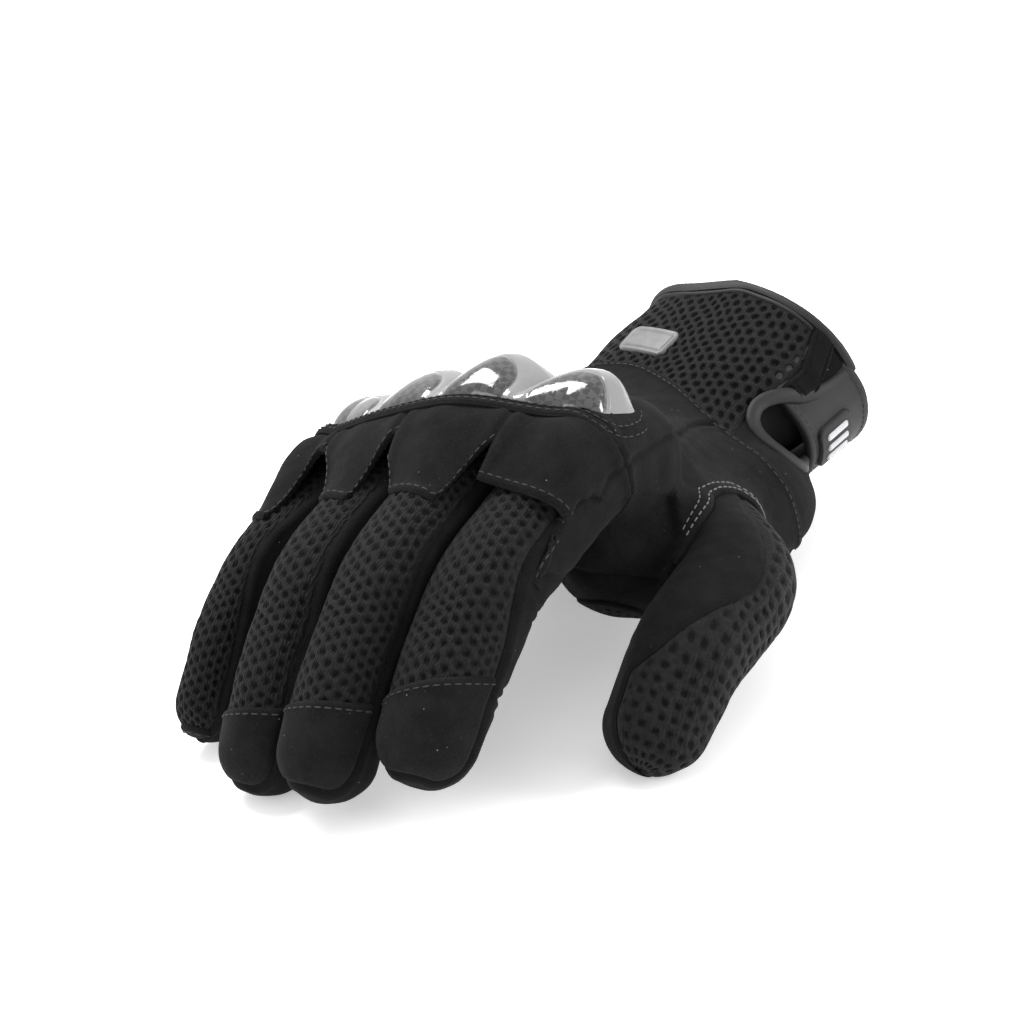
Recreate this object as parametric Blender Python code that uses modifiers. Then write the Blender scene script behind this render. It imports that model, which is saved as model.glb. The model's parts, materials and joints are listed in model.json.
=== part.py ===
"""Right-hand riding glove with a hard knuckle guard and a short cuff, lying palm down on its fingertips.

The glove is drawn in the hand's own frame, in millimetres: +X towards the thumb, +Y back towards the cuff,
+Z out of the back of the hand, with the origin in the middle of the wrist. One parent empty lays that frame
down on the ground plane, and one empty on each joint's axis carries the pieces that turn about it.
"""

import math

import bmesh
import bpy
from mathutils import Matrix, Vector

MM = 0.001

# How the glove lies: the wrist's place in the world, and the lean of the hand.
WRIST_AT = (-15.06, 49.85, 29.4)
HAND_PITCH = 24.0
HAND_ROLL = 2.3

# Material thicknesses and the running clearances.
WALL = 1.8
HAND_WALL = 2.0
SEAM_GAP = 0.55
JOINT_GAP = 0.6
LAYER_GAP = 0.5
PATCH = 1.2

# Half angles that the skins are cut back by, so that the wrist and the knuckles can bend.
CREASE = 32.0
KNUCKLE_CUT = 42.0

# Each finger: knuckle place (across, forward, up), splay, resting flex of its three joints, bone lengths,
# half widths at the knuckle, both joints and the tip, and half heights at the same four places.
FINGERS = {
    "index": dict(at=(37.0, 83.0, 2.5), splay=-4.5, flex=(46, 18, 10), bones=(44.0, 27.0, 17.0),
                  wide=(11.8, 11.6, 11.2, 10.8), high=(12.6, 12.2, 11.9, 11.6)),
    "middle": dict(at=(12.5, 88.0, 4.0), splay=-3.5, flex=(45, 21, 10), bones=(48.0, 30.0, 18.5),
                   wide=(11.8, 11.7, 11.3, 10.9), high=(12.8, 12.4, 12.1, 11.8)),
    "ring": dict(at=(-12.0, 87.0, -1.0), splay=-3.5, flex=(43, 27, 10), bones=(47.5, 29.0, 18.5),
                 wide=(11.5, 11.3, 10.9, 10.5), high=(12.4, 12.0, 11.6, 11.3)),
    "little": dict(at=(-36.5, 83.0, -8.0), splay=-12.0, flex=(40, 28, 10), bones=(40.0, 23.5, 18.5),
                   wide=(11.0, 10.6, 10.2, 9.8), high=(11.6, 11.0, 10.6, 10.3)),
}
# Joint travel from rest in degrees (back, forward) at the knuckle, middle joint and end joint.
FINGER_TRAVEL = ((-28, 35), (-15, 55), (-9, 33))

# The thumb: its root joint, the direction of each bone as (across-angle, down-angle), bone lengths, radii.
THUMB_AT = (32.0, 23.0, -11.0)
THUMB_AIM = ((55.1, 17.9), (7.4, 30.1), (-4.0, 61.7))
THUMB_BONES = (46.7, 34.9, 20.4)
THUMB_RADII = (15.5, 14.4, 13.2, 12.2)
THUMB_NAIL = (0.70, -0.33, 0.63)
THUMB_SLEEVE_START = 17.0
THUMB_TRAVEL = ((-12, 18), (-12, 25))
THUMB_HOLE_R = 20.0

# Hand sections from wrist to knuckles: forward, little-finger edge, thumb edge, height up, depth down, arch.
HAND_SECTIONS = (
    (0.0, -33.0, 33.0, 20.0, 22.0, 0.0),
    (28.0, -42.0, 37.0, 19.0, 24.0, 0.2),
    (58.0, -48.5, 46.0, 14.0, 19.0, 0.95),
    (84.0, -48.5, 49.5, 12.8, 14.0, 1.0),
)
SQUARENESS = 0.7

# Heel pad: its place across and forward on the palm, its flat sole forward, and how far the sole is drawn in.
HEEL_ACROSS = (-25.0, 21.0)
HEEL_FORWARD = (2.5, 17.0)
HEEL_SOLE = (-2.0, 9.0)
HEEL_INSET = 2.5

# The cuff: backward bend and sideways drift at rest, its length, and its sections (along, half width, half height).
CUFF_BEND = 42.5
CUFF_DRIFT = 13.3
CUFF_LENGTH = 56.0
CUFF_SECTIONS = ((0.0, 34.0, 23.5), (20.0, 34.5, 25.0), (40.0, 37.5, 26.5), (62.0, 41.0, 28.5))
WRIST_TRAVEL = (-35, 18)
HEM = 4.0
HEM_WALL = 2.6

# The strap slot in the thumb side of the cuff: its middle and half width round the cuff, where its round end is.
SLOT_MIDDLE = -6.0
SLOT_HALF = 28.0
SLOT_END = 13.0
BINDING_R = 1.5
STRAP_FROM = 12.0
STRAP_TO = -88.0
STRAP_BAND = (27.0, 50.0)
STRAP_THICK = 1.8
STRAP_LIFT = 5.3

# Knuckle guard: dome heights from the little finger to the index, groove height, half depth, wall.
DOME_HEIGHTS = {"little": 6.5, "ring": 7.8, "middle": 8.8, "index": 8.0}
GROOVE_HEIGHT = 4.6
GUARD_HALF = 14.0
GUARD_WALL = 1.8
GUARD_FROM = -47.0
GUARD_TO = 48.0
GUARD_DIP = 0.22
FRAME_BAND = 5.0
FRAME_HEIGHT = 2.2

FINGER_ORDER = ("little", "ring", "middle", "index")
ARC_STEPS = 9


def new_collection(name):
    group = bpy.data.collections.new(name)
    bpy.context.scene.collection.children.link(group)
    return group


def material(name, colour, rough, metal=0.0):
    made = bpy.data.materials.new(name)
    made.use_nodes = True
    shader = made.node_tree.nodes["Principled BSDF"]
    shader.inputs["Base Color"].default_value = (*colour, 1.0)
    shader.inputs["Roughness"].default_value = rough
    shader.inputs["Metallic"].default_value = metal
    made.diffuse_color = (*colour, 1.0)
    return made


def empty(name, matrix, parent=None):
    """An empty whose local frame is matrix, with its translation in millimetres."""
    made = bpy.data.objects.new(name, None)
    parts.objects.link(made)
    made.parent = parent
    made.matrix_local = Matrix.Translation(matrix.translation * MM) @ matrix.to_3x3().to_4x4()
    made.empty_display_size = 0.01
    return made


def add_object(name, bm, parent, look):
    """An object from a bmesh drawn in millimetres in its parent's frame."""
    bmesh.ops.scale(bm, vec=(MM, MM, MM), verts=bm.verts)
    mesh = bpy.data.meshes.new(name)
    bm.to_mesh(mesh)
    bm.free()
    mesh.materials.append(look)
    mesh.shade_smooth()
    mesh.set_sharp_from_angle(angle=math.radians(40))
    made = bpy.data.objects.new(name, mesh)
    parts.objects.link(made)
    made.parent = parent
    return made


def solidify(obj, wall, offset=-1.0):
    shell = obj.modifiers.new("wall", "SOLIDIFY")
    shell.thickness = wall * MM
    shell.offset = offset
    shell.use_even_offset = True
    return obj


def surface(name, rows, wall, outward, parent, look, pole=None, closed=False):
    """A shell: a grid of points made solid inwards. outward(point) points away from its inner side."""
    bm = bmesh.new()
    grid = [[bm.verts.new(p) for p in row] for row in rows]
    count = len(grid[0])
    steps = range(count if closed else count - 1)
    for low, high in zip(grid, grid[1:]):
        for j in steps:
            k = (j + 1) % count
            bm.faces.new((low[j], low[k], high[k], high[j]))
    if pole is not None:
        top = bm.verts.new(pole)
        for j in steps:
            bm.faces.new((grid[-1][j], grid[-1][(j + 1) % count], top))
    bm.normal_update()
    facing = sum(f.normal.dot(outward(f.calc_center_median())) * f.calc_area() for f in bm.faces)
    if facing < 0:
        bmesh.ops.reverse_faces(bm, faces=bm.faces)
    return solidify(add_object(name, bm, parent, look), wall)


def mix(a, b, t):
    return a + (b - a) * t


def between(table, place):
    """The row of a table whose first column is place, read off in straight lines."""
    if place <= table[0][0]:
        return table[0][1:]
    for low, high in zip(table, table[1:]):
        if place <= high[0]:
            t = (place - low[0]) / (high[0] - low[0])
            return tuple(mix(a, b, t) for a, b in zip(low[1:], high[1:]))
    return table[-1][1:]


def knuckle_line(across):
    """(forward, up) of the knuckle axis line at a place across the hand."""
    table = [(FINGERS[n]["at"][0], FINGERS[n]["at"][1], FINGERS[n]["at"][2]) for n in FINGER_ORDER]
    return between(table, across)


def setback(side, height, inner, outer, bend=(0.0, -1.0)):
    """How far a sleeve's end stays behind its joint, so that it can turn inner or outer degrees."""
    into = side * bend[0] + height * bend[1]
    half = inner / 2 if into > 0 else max(outer, 0.0) / 2
    return JOINT_GAP + abs(into) * math.tan(math.radians(half))


def arc(upper, steps=ARC_STEPS):
    """Angles round the upper or the lower half of a section, from the thumb side over to the other."""
    start = 0.0 if upper else -180.0
    return [math.radians(start + 180.0 * j / steps) for j in range(steps + 1)]


def half_section(wide, high, upper):
    """Points (across, up) of half an ellipse, moved off the seam by the seam gap."""
    shift = SEAM_GAP if upper else -SEAM_GAP
    return [(wide * math.cos(a), high * math.sin(a) + shift) for a in arc(upper)]


def sleeve(name, upper, length, sizes, start_cut, end_cut, parent, look, tip=None):
    """Half a finger sleeve along -Y. sizes is ((wide, high) at the start, at the end); tip rounds its end."""
    rows = []
    spans = 3
    for i in range(spans + 1):
        t = i / spans
        row = []
        wide = mix(sizes[0][0], sizes[1][0], t)
        high = mix(sizes[0][1], sizes[1][1], t)
        for x, z in half_section(wide, high, upper):
            first = start_cut(x, z)
            last = length - (end_cut(x, z) if end_cut else 0.0)
            row.append(Vector((x, -mix(first, last, t), z)))
        rows.append(row)
    pole = None
    if tip:
        wide, high = sizes[1]
        for turn in (22, 44, 64, 80):
            c = math.cos(math.radians(turn))
            s = math.sin(math.radians(turn))
            rows.append([Vector((x, -length - tip * s, z)) for x, z in half_section(wide * c, high * c, upper)])
        pole = Vector((0.0, -length - tip, SEAM_GAP if upper else -SEAM_GAP))
    middle = Vector((0.0, -length / 2, 0.0))

    def outward(p):
        return Vector((p.x, 0.35 * (p.y - middle.y), p.z))

    return surface(name, rows, WALL, outward, parent, look, pole)


def hand_section(forward):
    """Little-finger edge, thumb edge, height up, depth down and arch of the hand at a forward place."""
    return between(HAND_SECTIONS, forward)


def hand_surface(across, forward, upper):
    """Height of the hand's outer skin on its back or its palm."""
    low, high, up, down, arch = hand_section(forward)
    cosine = max(-1.0, min(1.0, (2 * across - low - high) / (high - low)))
    bulge = math.sqrt(max(0.0, 1.0 - cosine * cosine)) ** SQUARENESS
    base = knuckle_line(across)[1] * arch
    return base + (up * bulge if upper else -down * bulge)


def hand_ring(angle, forward, upper):
    """(across, up) on the hand's outer skin at an angle round the section at a forward place."""
    low, high, up, down, arch = hand_section(forward)
    x = (low + high) / 2 + (high - low) / 2 * math.cos(angle)
    bulge = abs(math.sin(angle)) ** SQUARENESS
    base = knuckle_line(x)[1] * arch
    return x, base + (up * bulge + SEAM_GAP if upper else -down * bulge - SEAM_GAP)


def hand_shell(name, upper, look):
    """The back or the palm of the hand, from the wrist crease to the knuckles."""
    rows = []
    spans = 7
    for i in range(spans + 1):
        row = []
        for a in arc(upper, 16):
            x, z = hand_ring(a, 8.0, upper)
            rear = JOINT_GAP + 0.4 + max(z, 0.0) * math.tan(math.radians(CREASE))
            x, z = hand_ring(a, 80.0, upper)
            line, axis_up = knuckle_line(x)
            front = line - 1.0 - max(0.0, axis_up - z) * math.tan(math.radians(KNUCKLE_CUT))
            forward = mix(rear, front, i / spans)
            x, z = hand_ring(a, forward, upper)
            row.append(Vector((x, -forward, z)))
        rows.append(row)
    return surface(name, rows, HAND_WALL, lambda p: Vector((p.x, 0.0, p.z + 3.0)), hand, look)


def skin_patch(name, across, forward, lift, wall, upper, look, columns=7, lines=5):
    """A thin patch sewn on the outside of the hand's skin, over a range across and forward."""
    rows = []
    sign = 1.0 if upper else -1.0
    for i in range(lines + 1):
        f = mix(forward[0], forward[1], i / lines)
        inset = 0.10 * abs(2 * i / lines - 1) ** 3
        row = []
        for j in range(columns + 1):
            x = mix(across[0], across[1], mix(inset, 1 - inset, j / columns))
            row.append(Vector((x, -f, hand_surface(x, f, upper) + sign * (lift + wall + SEAM_GAP))))
        rows.append(row)
    return surface(name, rows, wall, lambda p: Vector((0.0, 0.0, sign)), hand, look)


def cutter(name, bm, parent):
    bmesh.ops.scale(bm, vec=(MM, MM, MM), verts=bm.verts)
    mesh = bpy.data.meshes.new(name)
    bm.to_mesh(mesh)
    bm.free()
    made = bpy.data.objects.new(name, mesh)
    cutters.objects.link(made)
    made.parent = parent
    made.hide_render = True
    made.display_type = "WIRE"
    return made


def cut(obj, tool):
    carve = obj.modifiers.new("cut", "BOOLEAN")
    carve.operation = "DIFFERENCE"
    carve.object = tool
    carve.solver = "EXACT"
    return obj


# --- Knuckle guard ---------------------------------------------------------------------------------

def guard_base(across, forward):
    """Height of the surface that the guard and its frame sit on."""
    line, up = knuckle_line(across)
    return up + 14.2 - GUARD_DIP * max(0.0, forward - line + 4.0)


def guard_point(share, depth, lift):
    """A point of the guard: share runs along the knuckles 0..1, depth -1..1 from rear to front."""
    x = mix(GUARD_FROM, GUARD_TO, share)
    half = GUARD_HALF * (1.0 - 0.55 * abs(2 * share - 1) ** 4)
    f = knuckle_line(x)[0] - 1.0 + depth * half
    return Vector((x, -f, guard_base(x, f) + lift))


def dome_height(across):
    """Height of the guard's ridge line: one dome over each knuckle with a groove between."""
    best = 0.0
    for name in FINGER_ORDER:
        offset = (across - FINGERS[name]["at"][0]) / 12.25
        if abs(offset) <= 1.0:
            lobe = math.cos(offset * math.pi / 2) ** 0.8
            best = max(best, GROOVE_HEIGHT + (DOME_HEIGHTS[name] - GROOVE_HEIGHT) * lobe)
    return max(best, GROOVE_HEIGHT)


def knuckle_guard(look):
    rows = []
    for depth in (-1.0, -0.9, -0.65, -0.35, 0.0, 0.35, 0.65, 0.9, 1.0):
        row = []
        for i in range(37):
            share = i / 36
            x = mix(GUARD_FROM, GUARD_TO, share)
            end = min(1.0, 2.2 * min(share, 1 - share) / 0.12)
            dome = dome_height(x) * (1.0 - depth * depth) ** 0.5 * math.sin(min(end, 1.0) * math.pi / 2)
            row.append(guard_point(share, depth, LAYER_GAP + FRAME_HEIGHT * 0.2 + dome + 1.2))
        rows.append(row)
    return surface("knuckle_guard", rows, GUARD_WALL, lambda p: Vector((0, 0, 1)), hand, look)


def guard_frame(look):
    """The raised suede band sewn round the guard."""
    loops = []
    for grow in (0.0, 0.5, 1.0):
        loop = []
        steps = 48
        for i in range(steps):
            a = 2 * math.pi * i / steps
            c = math.cos(a)
            s = math.sin(a)
            reach = 50.0 + FRAME_BAND * grow
            across = 0.5 + reach * math.copysign(abs(c) ** 0.55, c)
            deep = (GUARD_HALF + 1.6 + FRAME_BAND * grow) * math.copysign(abs(s) ** 0.75, s)
            line = knuckle_line(max(GUARD_FROM, min(GUARD_TO, across)))[0]
            f = line - 1.0 + deep
            top = guard_base(across, f) + LAYER_GAP + FRAME_HEIGHT * (1.0 - 0.25 * grow * grow)
            droop = 0.5 * max(0.0, abs(across) - 46.0)
            loop.append(Vector((across, -f, top - droop)))
        loops.append(loop)
    return surface("guard_frame", loops, FRAME_HEIGHT - 0.6, lambda p: Vector((0, 0, 1)), hand, look, closed=True)


def guard_foam(look):
    rows = []
    for depth in (-0.7, -0.35, 0.0, 0.35, 0.7):
        rows.append([guard_point(0.04 + 0.92 * i / 18, depth, LAYER_GAP + 1.6) for i in range(19)])
    return surface("guard_foam", rows, 1.5, lambda p: Vector((0, 0, 1)), hand, look)


# --- Palm heel pad ---------------------------------------------------------------------------------

def heel_pad(look):
    """A wedge of padding under the heel of the palm; its underside is flat and level when the glove rests."""
    to_hand = hand_matrix.inverted()
    bm = bmesh.new()
    columns = 8
    lines = 4
    grid = []
    for i in range(lines + 1):
        f = mix(*HEEL_FORWARD, i / lines)
        row = []
        for j in range(columns + 1):
            x = mix(*HEEL_ACROSS, j / columns)
            top = Vector((x, -f, hand_surface(x, f, False) - LAYER_GAP - SEAM_GAP - 0.3))
            x = mix(HEEL_ACROSS[0] + HEEL_INSET, HEEL_ACROSS[1] - HEEL_INSET, j / columns)
            ground = hand_matrix @ Vector((x, -mix(*HEEL_SOLE, i / lines), top.z))
            ground.z = 0.0
            row.append((bm.verts.new(top), bm.verts.new(to_hand @ ground)))
        grid.append(row)
    for i in range(lines):
        for j in range(columns):
            a, b, c, d = grid[i][j], grid[i][j + 1], grid[i + 1][j + 1], grid[i + 1][j]
            bm.faces.new((a[0], b[0], c[0], d[0]))
            bm.faces.new((d[1], c[1], b[1], a[1]))
    edge = [grid[0][j] for j in range(columns + 1)]
    edge += [grid[i][columns] for i in range(1, lines + 1)]
    edge += [grid[lines][j] for j in range(columns - 1, -1, -1)]
    edge += [grid[i][0] for i in range(lines - 1, 0, -1)]
    for here, there in zip(edge, edge[1:] + edge[:1]):
        bm.faces.new((here[0], here[1], there[1], there[0]))
    bmesh.ops.recalc_face_normals(bm, faces=bm.faces)
    return add_object("palm_heel_pad", bm, hand, look)


# --- Cuff and strap --------------------------------------------------------------------------------

def cuff_point(along, angle, lift=0.0):
    """A point of the cuff's outer skin, lifted outwards: angle 0 is the thumb side, 90 the back."""
    wide, high = between(CUFF_SECTIONS, along)
    a = math.radians(angle)
    turn = math.radians(CUFF_DRIFT) * min(1.0, max(0.0, along / CUFF_LENGTH))
    side = (wide + lift) * math.cos(a)
    drift = math.tan(math.radians(CUFF_DRIFT)) * along
    return Vector((drift + side * math.cos(turn), along - side * math.sin(turn), (high + lift) * math.sin(a)))


def cuff_start(angle):
    """Where the cuff's skin starts behind the wrist axis, clear of the bending hand."""
    high = between(CUFF_SECTIONS, 0.0)[1]
    return JOINT_GAP + 0.4 + high * max(0.0, math.sin(math.radians(angle))) * math.tan(math.radians(CREASE))


def cuff_outward(p):
    drift = math.tan(math.radians(CUFF_DRIFT)) * p.y
    return Vector((p.x - drift, 0.0, p.z))


def cuff_rows(first, last, along, steps, lift, spans=5):
    """Rows of cuff points over an arc, from the wrist or a place along the cuff to another."""
    rows = []
    for i in range(spans + 1):
        row = []
        for j in range(steps + 1):
            angle = mix(first, last, j / steps)
            start = cuff_start(angle) if along[0] is None else along[0]
            row.append(cuff_point(mix(start, along[1], i / spans), angle, lift))
        rows.append(row)
    return rows


def cuff_half(name, first, last, look):
    rows = cuff_rows(first, last, (None, CUFF_LENGTH), 14, 0.0, 6)
    return surface(name, rows, HAND_WALL, cuff_outward, wrist, look)


def slot_cutter():
    """A block with a round front end, wider than the binding that edges the slot."""
    bm = bmesh.new()
    rows = []
    outline = slot_outline(0.0)
    for lift in (-16.0, 14.0):
        rows.append([bm.verts.new(cuff_point(along, angle, lift)) for along, angle in outline])
    count = len(outline)
    for j in range(count):
        k = (j + 1) % count
        bm.faces.new((rows[0][j], rows[0][k], rows[1][k], rows[1][j]))
    bm.faces.new(list(reversed(rows[0])))
    bm.faces.new(rows[1])
    bmesh.ops.recalc_face_normals(bm, faces=bm.faces)
    bmesh.ops.triangulate(bm, faces=[f for f in bm.faces if len(f.verts) > 4])
    return cutter("slot_cutter", bm, wrist)


def slot_outline(inset):
    """(along, angle) points round the U of the slot, moved into the opening by inset millimetres."""
    radius = math.radians(SLOT_HALF) * 30.0
    points = [(CUFF_LENGTH + 12.0, SLOT_MIDDLE + SLOT_HALF - math.degrees(inset / 30.0))]
    for i in range(9):
        a = math.radians(90 + 180 * i / 8)
        along = SLOT_END + radius * 0.75 + (radius * 0.75 - inset) * math.cos(a)
        angle = SLOT_MIDDLE + (SLOT_HALF - math.degrees(inset / 30.0)) * math.sin(a)
        points.append((along, angle))
    points.append((CUFF_LENGTH + 12.0, SLOT_MIDDLE - SLOT_HALF + math.degrees(inset / 30.0)))
    return points


def slot_binding(look):
    """The rolled edge tape round the slot, a tube that stays just inside the cut."""
    curve = bpy.data.curves.new("slot_binding", "CURVE")
    curve.dimensions = "3D"
    curve.bevel_depth = BINDING_R * MM
    curve.bevel_resolution = 2
    curve.use_fill_caps = True
    line = curve.splines.new("POLY")
    route = slot_outline(BINDING_R + 1.0)
    route = [(CUFF_LENGTH - 1.0, route[0][1]), (44.0, route[0][1])] + route[1:-1] + [
        (44.0, route[-1][1]), (CUFF_LENGTH - 1.0, route[-1][1])]
    line.points.add(len(route) - 1)
    for point, (along, angle) in zip(line.points, route):
        point.co = (*(cuff_point(along, angle, -HAND_WALL / 2) * MM), 1.0)
    curve.materials.append(look)
    made = bpy.data.objects.new("slot_binding", curve)
    parts.objects.link(made)
    made.parent = wrist
    return made


def strap_lift(angle):
    """The strap lies in the slot at its root and rides over the palm side of the cuff beyond it."""
    t = min(1.0, max(0.0, (STRAP_FROM - angle) / (STRAP_FROM - (SLOT_MIDDLE - SLOT_HALF))))
    return -0.4 + (STRAP_LIFT + 0.4) * (t * t * (3 - 2 * t))


def strap_point(along, angle, lift=0.0):
    return strap_frame.inverted() @ cuff_point(along, angle, strap_lift(angle) + lift)


def strap_rows(first, last, band, steps, lift, rounding=0.0):
    """Rows of strap points; rounding narrows the last fifth of the strap towards its free end."""
    rows = []
    middle = (band[0] + band[1]) / 2
    for i in range(5):
        row = []
        for j in range(steps + 1):
            share = j / steps
            half = (band[1] - band[0]) / 2 - rounding * max(0.0, 5 * share - 4) ** 2
            row.append(strap_point(middle + half * (i / 2 - 1), mix(first, last, share), lift))
        rows.append(row)
    return rows


def strap_outward(p):
    out = cuff_outward(strap_frame @ p)
    return strap_frame.to_3x3().inverted() @ out


# --- Build -----------------------------------------------------------------------------------------

for old in list(bpy.data.objects):
    bpy.data.objects.remove(old, do_unlink=True)

parts = new_collection("riding_glove")
cutters = new_collection("cutters")

SUEDE = material("suede", (0.020, 0.020, 0.021), 0.90)
MESH = material("air_mesh", (0.030, 0.030, 0.031), 0.85)
PALM = material("palm_leather", (0.016, 0.016, 0.017), 0.70)
SHELL = material("guard_shell", (0.010, 0.010, 0.011), 0.12)
FOAM = material("foam", (0.060, 0.060, 0.060), 0.95)
BINDING = material("binding", (0.030, 0.030, 0.032), 0.80)
RUBBER = material("rubber", (0.160, 0.160, 0.165), 0.55)
LOOP = material("hook_and_loop", (0.020, 0.020, 0.020), 0.95)
LINING = material("lining", (0.045, 0.045, 0.047), 0.90)
BADGE = material("badge", (0.420, 0.420, 0.430), 0.15)

hand_matrix = (
    Matrix.Translation(Vector(WRIST_AT))
    @ Matrix.Rotation(math.radians(-HAND_ROLL), 4, "Y")
    @ Matrix.Rotation(math.radians(-HAND_PITCH), 4, "X")
)
hand = empty("hand_frame", hand_matrix)

# Fingers: three bodies each, every one a back half and a palm half.
for finger, spec in FINGERS.items():
    x, f, z = spec["at"]
    frame = (
        Matrix.Translation(Vector((x, -f, z)))
        @ Matrix.Rotation(math.radians(spec["splay"]), 4, "Z")
        @ Matrix.Rotation(math.radians(spec["flex"][0]), 4, "X")
    )
    joint = empty(f"{finger}_knuckle_axis", frame, hand)
    sizes = list(zip(spec["wide"], spec["high"]))
    inner = [rest + travel[1] for rest, travel in zip(spec["flex"], FINGER_TRAVEL)]
    outer = [-(rest + travel[0]) for rest, travel in zip(spec["flex"], FINGER_TRAVEL)]

    lean = math.sin(math.radians(spec["splay"]))

    def cut_at(number, ahead):
        """The end cut at one joint; ahead keeps a splayed sleeve's root clear of the hand."""
        return lambda side, height: setback(side, height, inner[number], outer[number]) + max(0.0, ahead * side)

    for number, segment in enumerate(("proximal", "middle", "tip")):
        last = segment == "tip"
        for upper in (True, False):
            if last:
                name = f"{finger}_tip_cap" if upper else f"{finger}_tip_pad"
                look = SUEDE if upper else PALM
            else:
                name = f"{finger}_{segment}_{'back' if upper else 'palm'}"
                look = MESH if upper else PALM
            sleeve(name, upper, spec["bones"][number], sizes[number:number + 2], cut_at(number, 0.0 if number else lean),
                   None if last else cut_at(number + 1, 0.0), joint, look, tip=sizes[3][1] if last else None)
        if not last:
            step = Matrix.Translation(Vector((0.0, -spec["bones"][number], 0.0)))
            turn = Matrix.Rotation(math.radians(spec["flex"][number + 1]), 4, "X")
            joint = empty(f"{finger}_{('middle', 'end')[number]}_axis", step @ turn, joint)


def aim(across, down):
    """Unit vector in the hand's frame of a thumb bone."""
    a = math.radians(across)
    b = math.radians(down)
    return Vector((math.sin(a) * math.cos(b), -math.cos(a) * math.cos(b), -math.sin(b)))


def bone_frame(direction, at):
    """Frame with -Y along a thumb bone and +Z as near the nail's direction as it can be."""
    back = -direction
    nail = Vector(THUMB_NAIL)
    up = (nail - back * nail.dot(back)).normalized()
    side = back.cross(up)
    turn = Matrix((side, back, up)).transposed().to_4x4()
    return Matrix.Translation(at) @ turn


# Thumb: root sleeve, middle sleeve and tip.
aims = [aim(*pair) for pair in THUMB_AIM]
root = Vector((THUMB_AT[0], -THUMB_AT[1], THUMB_AT[2]))
thumb_frames = []
for direction, bone in zip(aims, THUMB_BONES):
    thumb_frames.append(bone_frame(direction, root))
    root = root + direction * bone


def bend_between(number):
    """Resting angle at a thumb joint, and the bend's inner side in each of the two bones' sections."""
    first, second = aims[number], aims[number + 1]
    angle = math.degrees(first.angle(second))
    inner_side = (second - first).normalized()
    sides = []
    for frame in (thumb_frames[number], thumb_frames[number + 1]):
        local = frame.to_3x3().inverted() @ inner_side
        flat = Vector((local.x, local.z)).normalized()
        sides.append((flat.x, flat.y))
    return angle, sides


def thumb_cut(number, which):
    angle, sides = bend_between(number)
    low, high = THUMB_TRAVEL[number]

    def amount(side, height):
        back = setback(side, height, angle, -angle, sides[which])
        travel = high if height < 0 else -low
        return back + 1.2 * abs(height) * math.tan(math.radians(travel / 2))

    return amount


def root_cut(side, height):
    return THUMB_SLEEVE_START


thumb_parent = hand
previous = Matrix.Identity(4)
for number, segment in enumerate(("base", "middle", "tip")):
    frame = previous.inverted() @ thumb_frames[number]
    previous = thumb_frames[number]
    thumb_parent = empty(f"thumb_{('root', 'middle', 'end')[number]}_axis", frame, thumb_parent)
    last = segment == "tip"
    radii = THUMB_RADII[number:number + 2]
    sizes = [(r, r) for r in radii]
    for upper in (True, False):
        side = "back" if upper else "palm"
        name = f"thumb_tip_{'cap' if upper else 'pad'}" if last else f"thumb_{segment}_{side}"
        first_cut = thumb_cut(number - 1, 1) if number else root_cut
        sleeve(name, upper, THUMB_BONES[number], sizes, first_cut, None if last else thumb_cut(number, 0),
               thumb_parent, MESH if upper else PALM, tip=radii[1] if last else None)

# Hand shells with the thumb's hole cut through both.
back_panel = hand_shell("back_panel", True, SUEDE)
palm_panel = hand_shell("palm_panel", False, PALM)
bm = bmesh.new()
bmesh.ops.create_cone(bm, cap_ends=True, segments=24, radius1=THUMB_HOLE_R, radius2=THUMB_HOLE_R, depth=60.0)
thumb_root = Vector((THUMB_AT[0], -THUMB_AT[1], THUMB_AT[2]))
lean = aims[0].to_track_quat("Z", "Y").to_matrix().to_4x4()
bmesh.ops.transform(bm, matrix=Matrix.Translation(thumb_root + aims[0] * 35.0) @ lean, verts=bm.verts)
thumb_hole = cutter("thumb_hole_cutter", bm, hand)
for panel in (back_panel, palm_panel):
    cut(panel, thumb_hole)

knuckle_guard(SHELL)
guard_frame(SUEDE)
guard_foam(FOAM)
skin_patch("palm_reinforcement", (-34.0, 18.0), (24.0, 64.0), LAYER_GAP, PATCH, False, SUEDE)
skin_patch("thumb_crotch_patch", (22.0, 37.0), (48.0, 63.0), LAYER_GAP, PATCH, False, PALM)
heel_pad(SUEDE)

# Cuff.
wrist_frame = Matrix.Rotation(math.radians(CUFF_BEND), 4, "X")
wrist = empty("wrist_axis", wrist_frame, hand)
cuff_back = cuff_half("cuff_back_panel", 0.9, 179.1, MESH)
cuff_palm = cuff_half("cuff_palm_panel", -179.1, -0.9, PALM)
slot = slot_cutter()
slot_low = SLOT_MIDDLE - SLOT_HALF
slot_high = SLOT_MIDDLE + SLOT_HALF
for panel in (cuff_back, cuff_palm):
    cut(panel, slot)
hem_rows = cuff_rows(slot_high + 1.0, slot_low + 359.0, (CUFF_LENGTH + 0.4, CUFF_LENGTH + HEM), 26, 0.3, 1)
surface("cuff_hem", hem_rows, HEM_WALL, cuff_outward, wrist, BINDING)
lining_rows = cuff_rows(slot_high + 4.0, slot_low + 356.0, (18.0, CUFF_LENGTH - 1.0), 22, -HAND_WALL - LAYER_GAP, 3)
surface("cuff_lining", lining_rows, 1.0, cuff_outward, wrist, LINING)
slot_binding(BINDING)
loop_rows = cuff_rows(-42.0, -84.0, (24.0, 53.0), 6, LAYER_GAP + 1.0, 3)
surface("loop_patch", loop_rows, 1.0, cuff_outward, wrist, LOOP)
tab_rows = cuff_rows(78.0, 126.0, (40.0, 51.0), 7, LAYER_GAP + 1.2, 2)
surface("cuff_tab", tab_rows, 1.2, cuff_outward, wrist, RUBBER)

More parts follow.
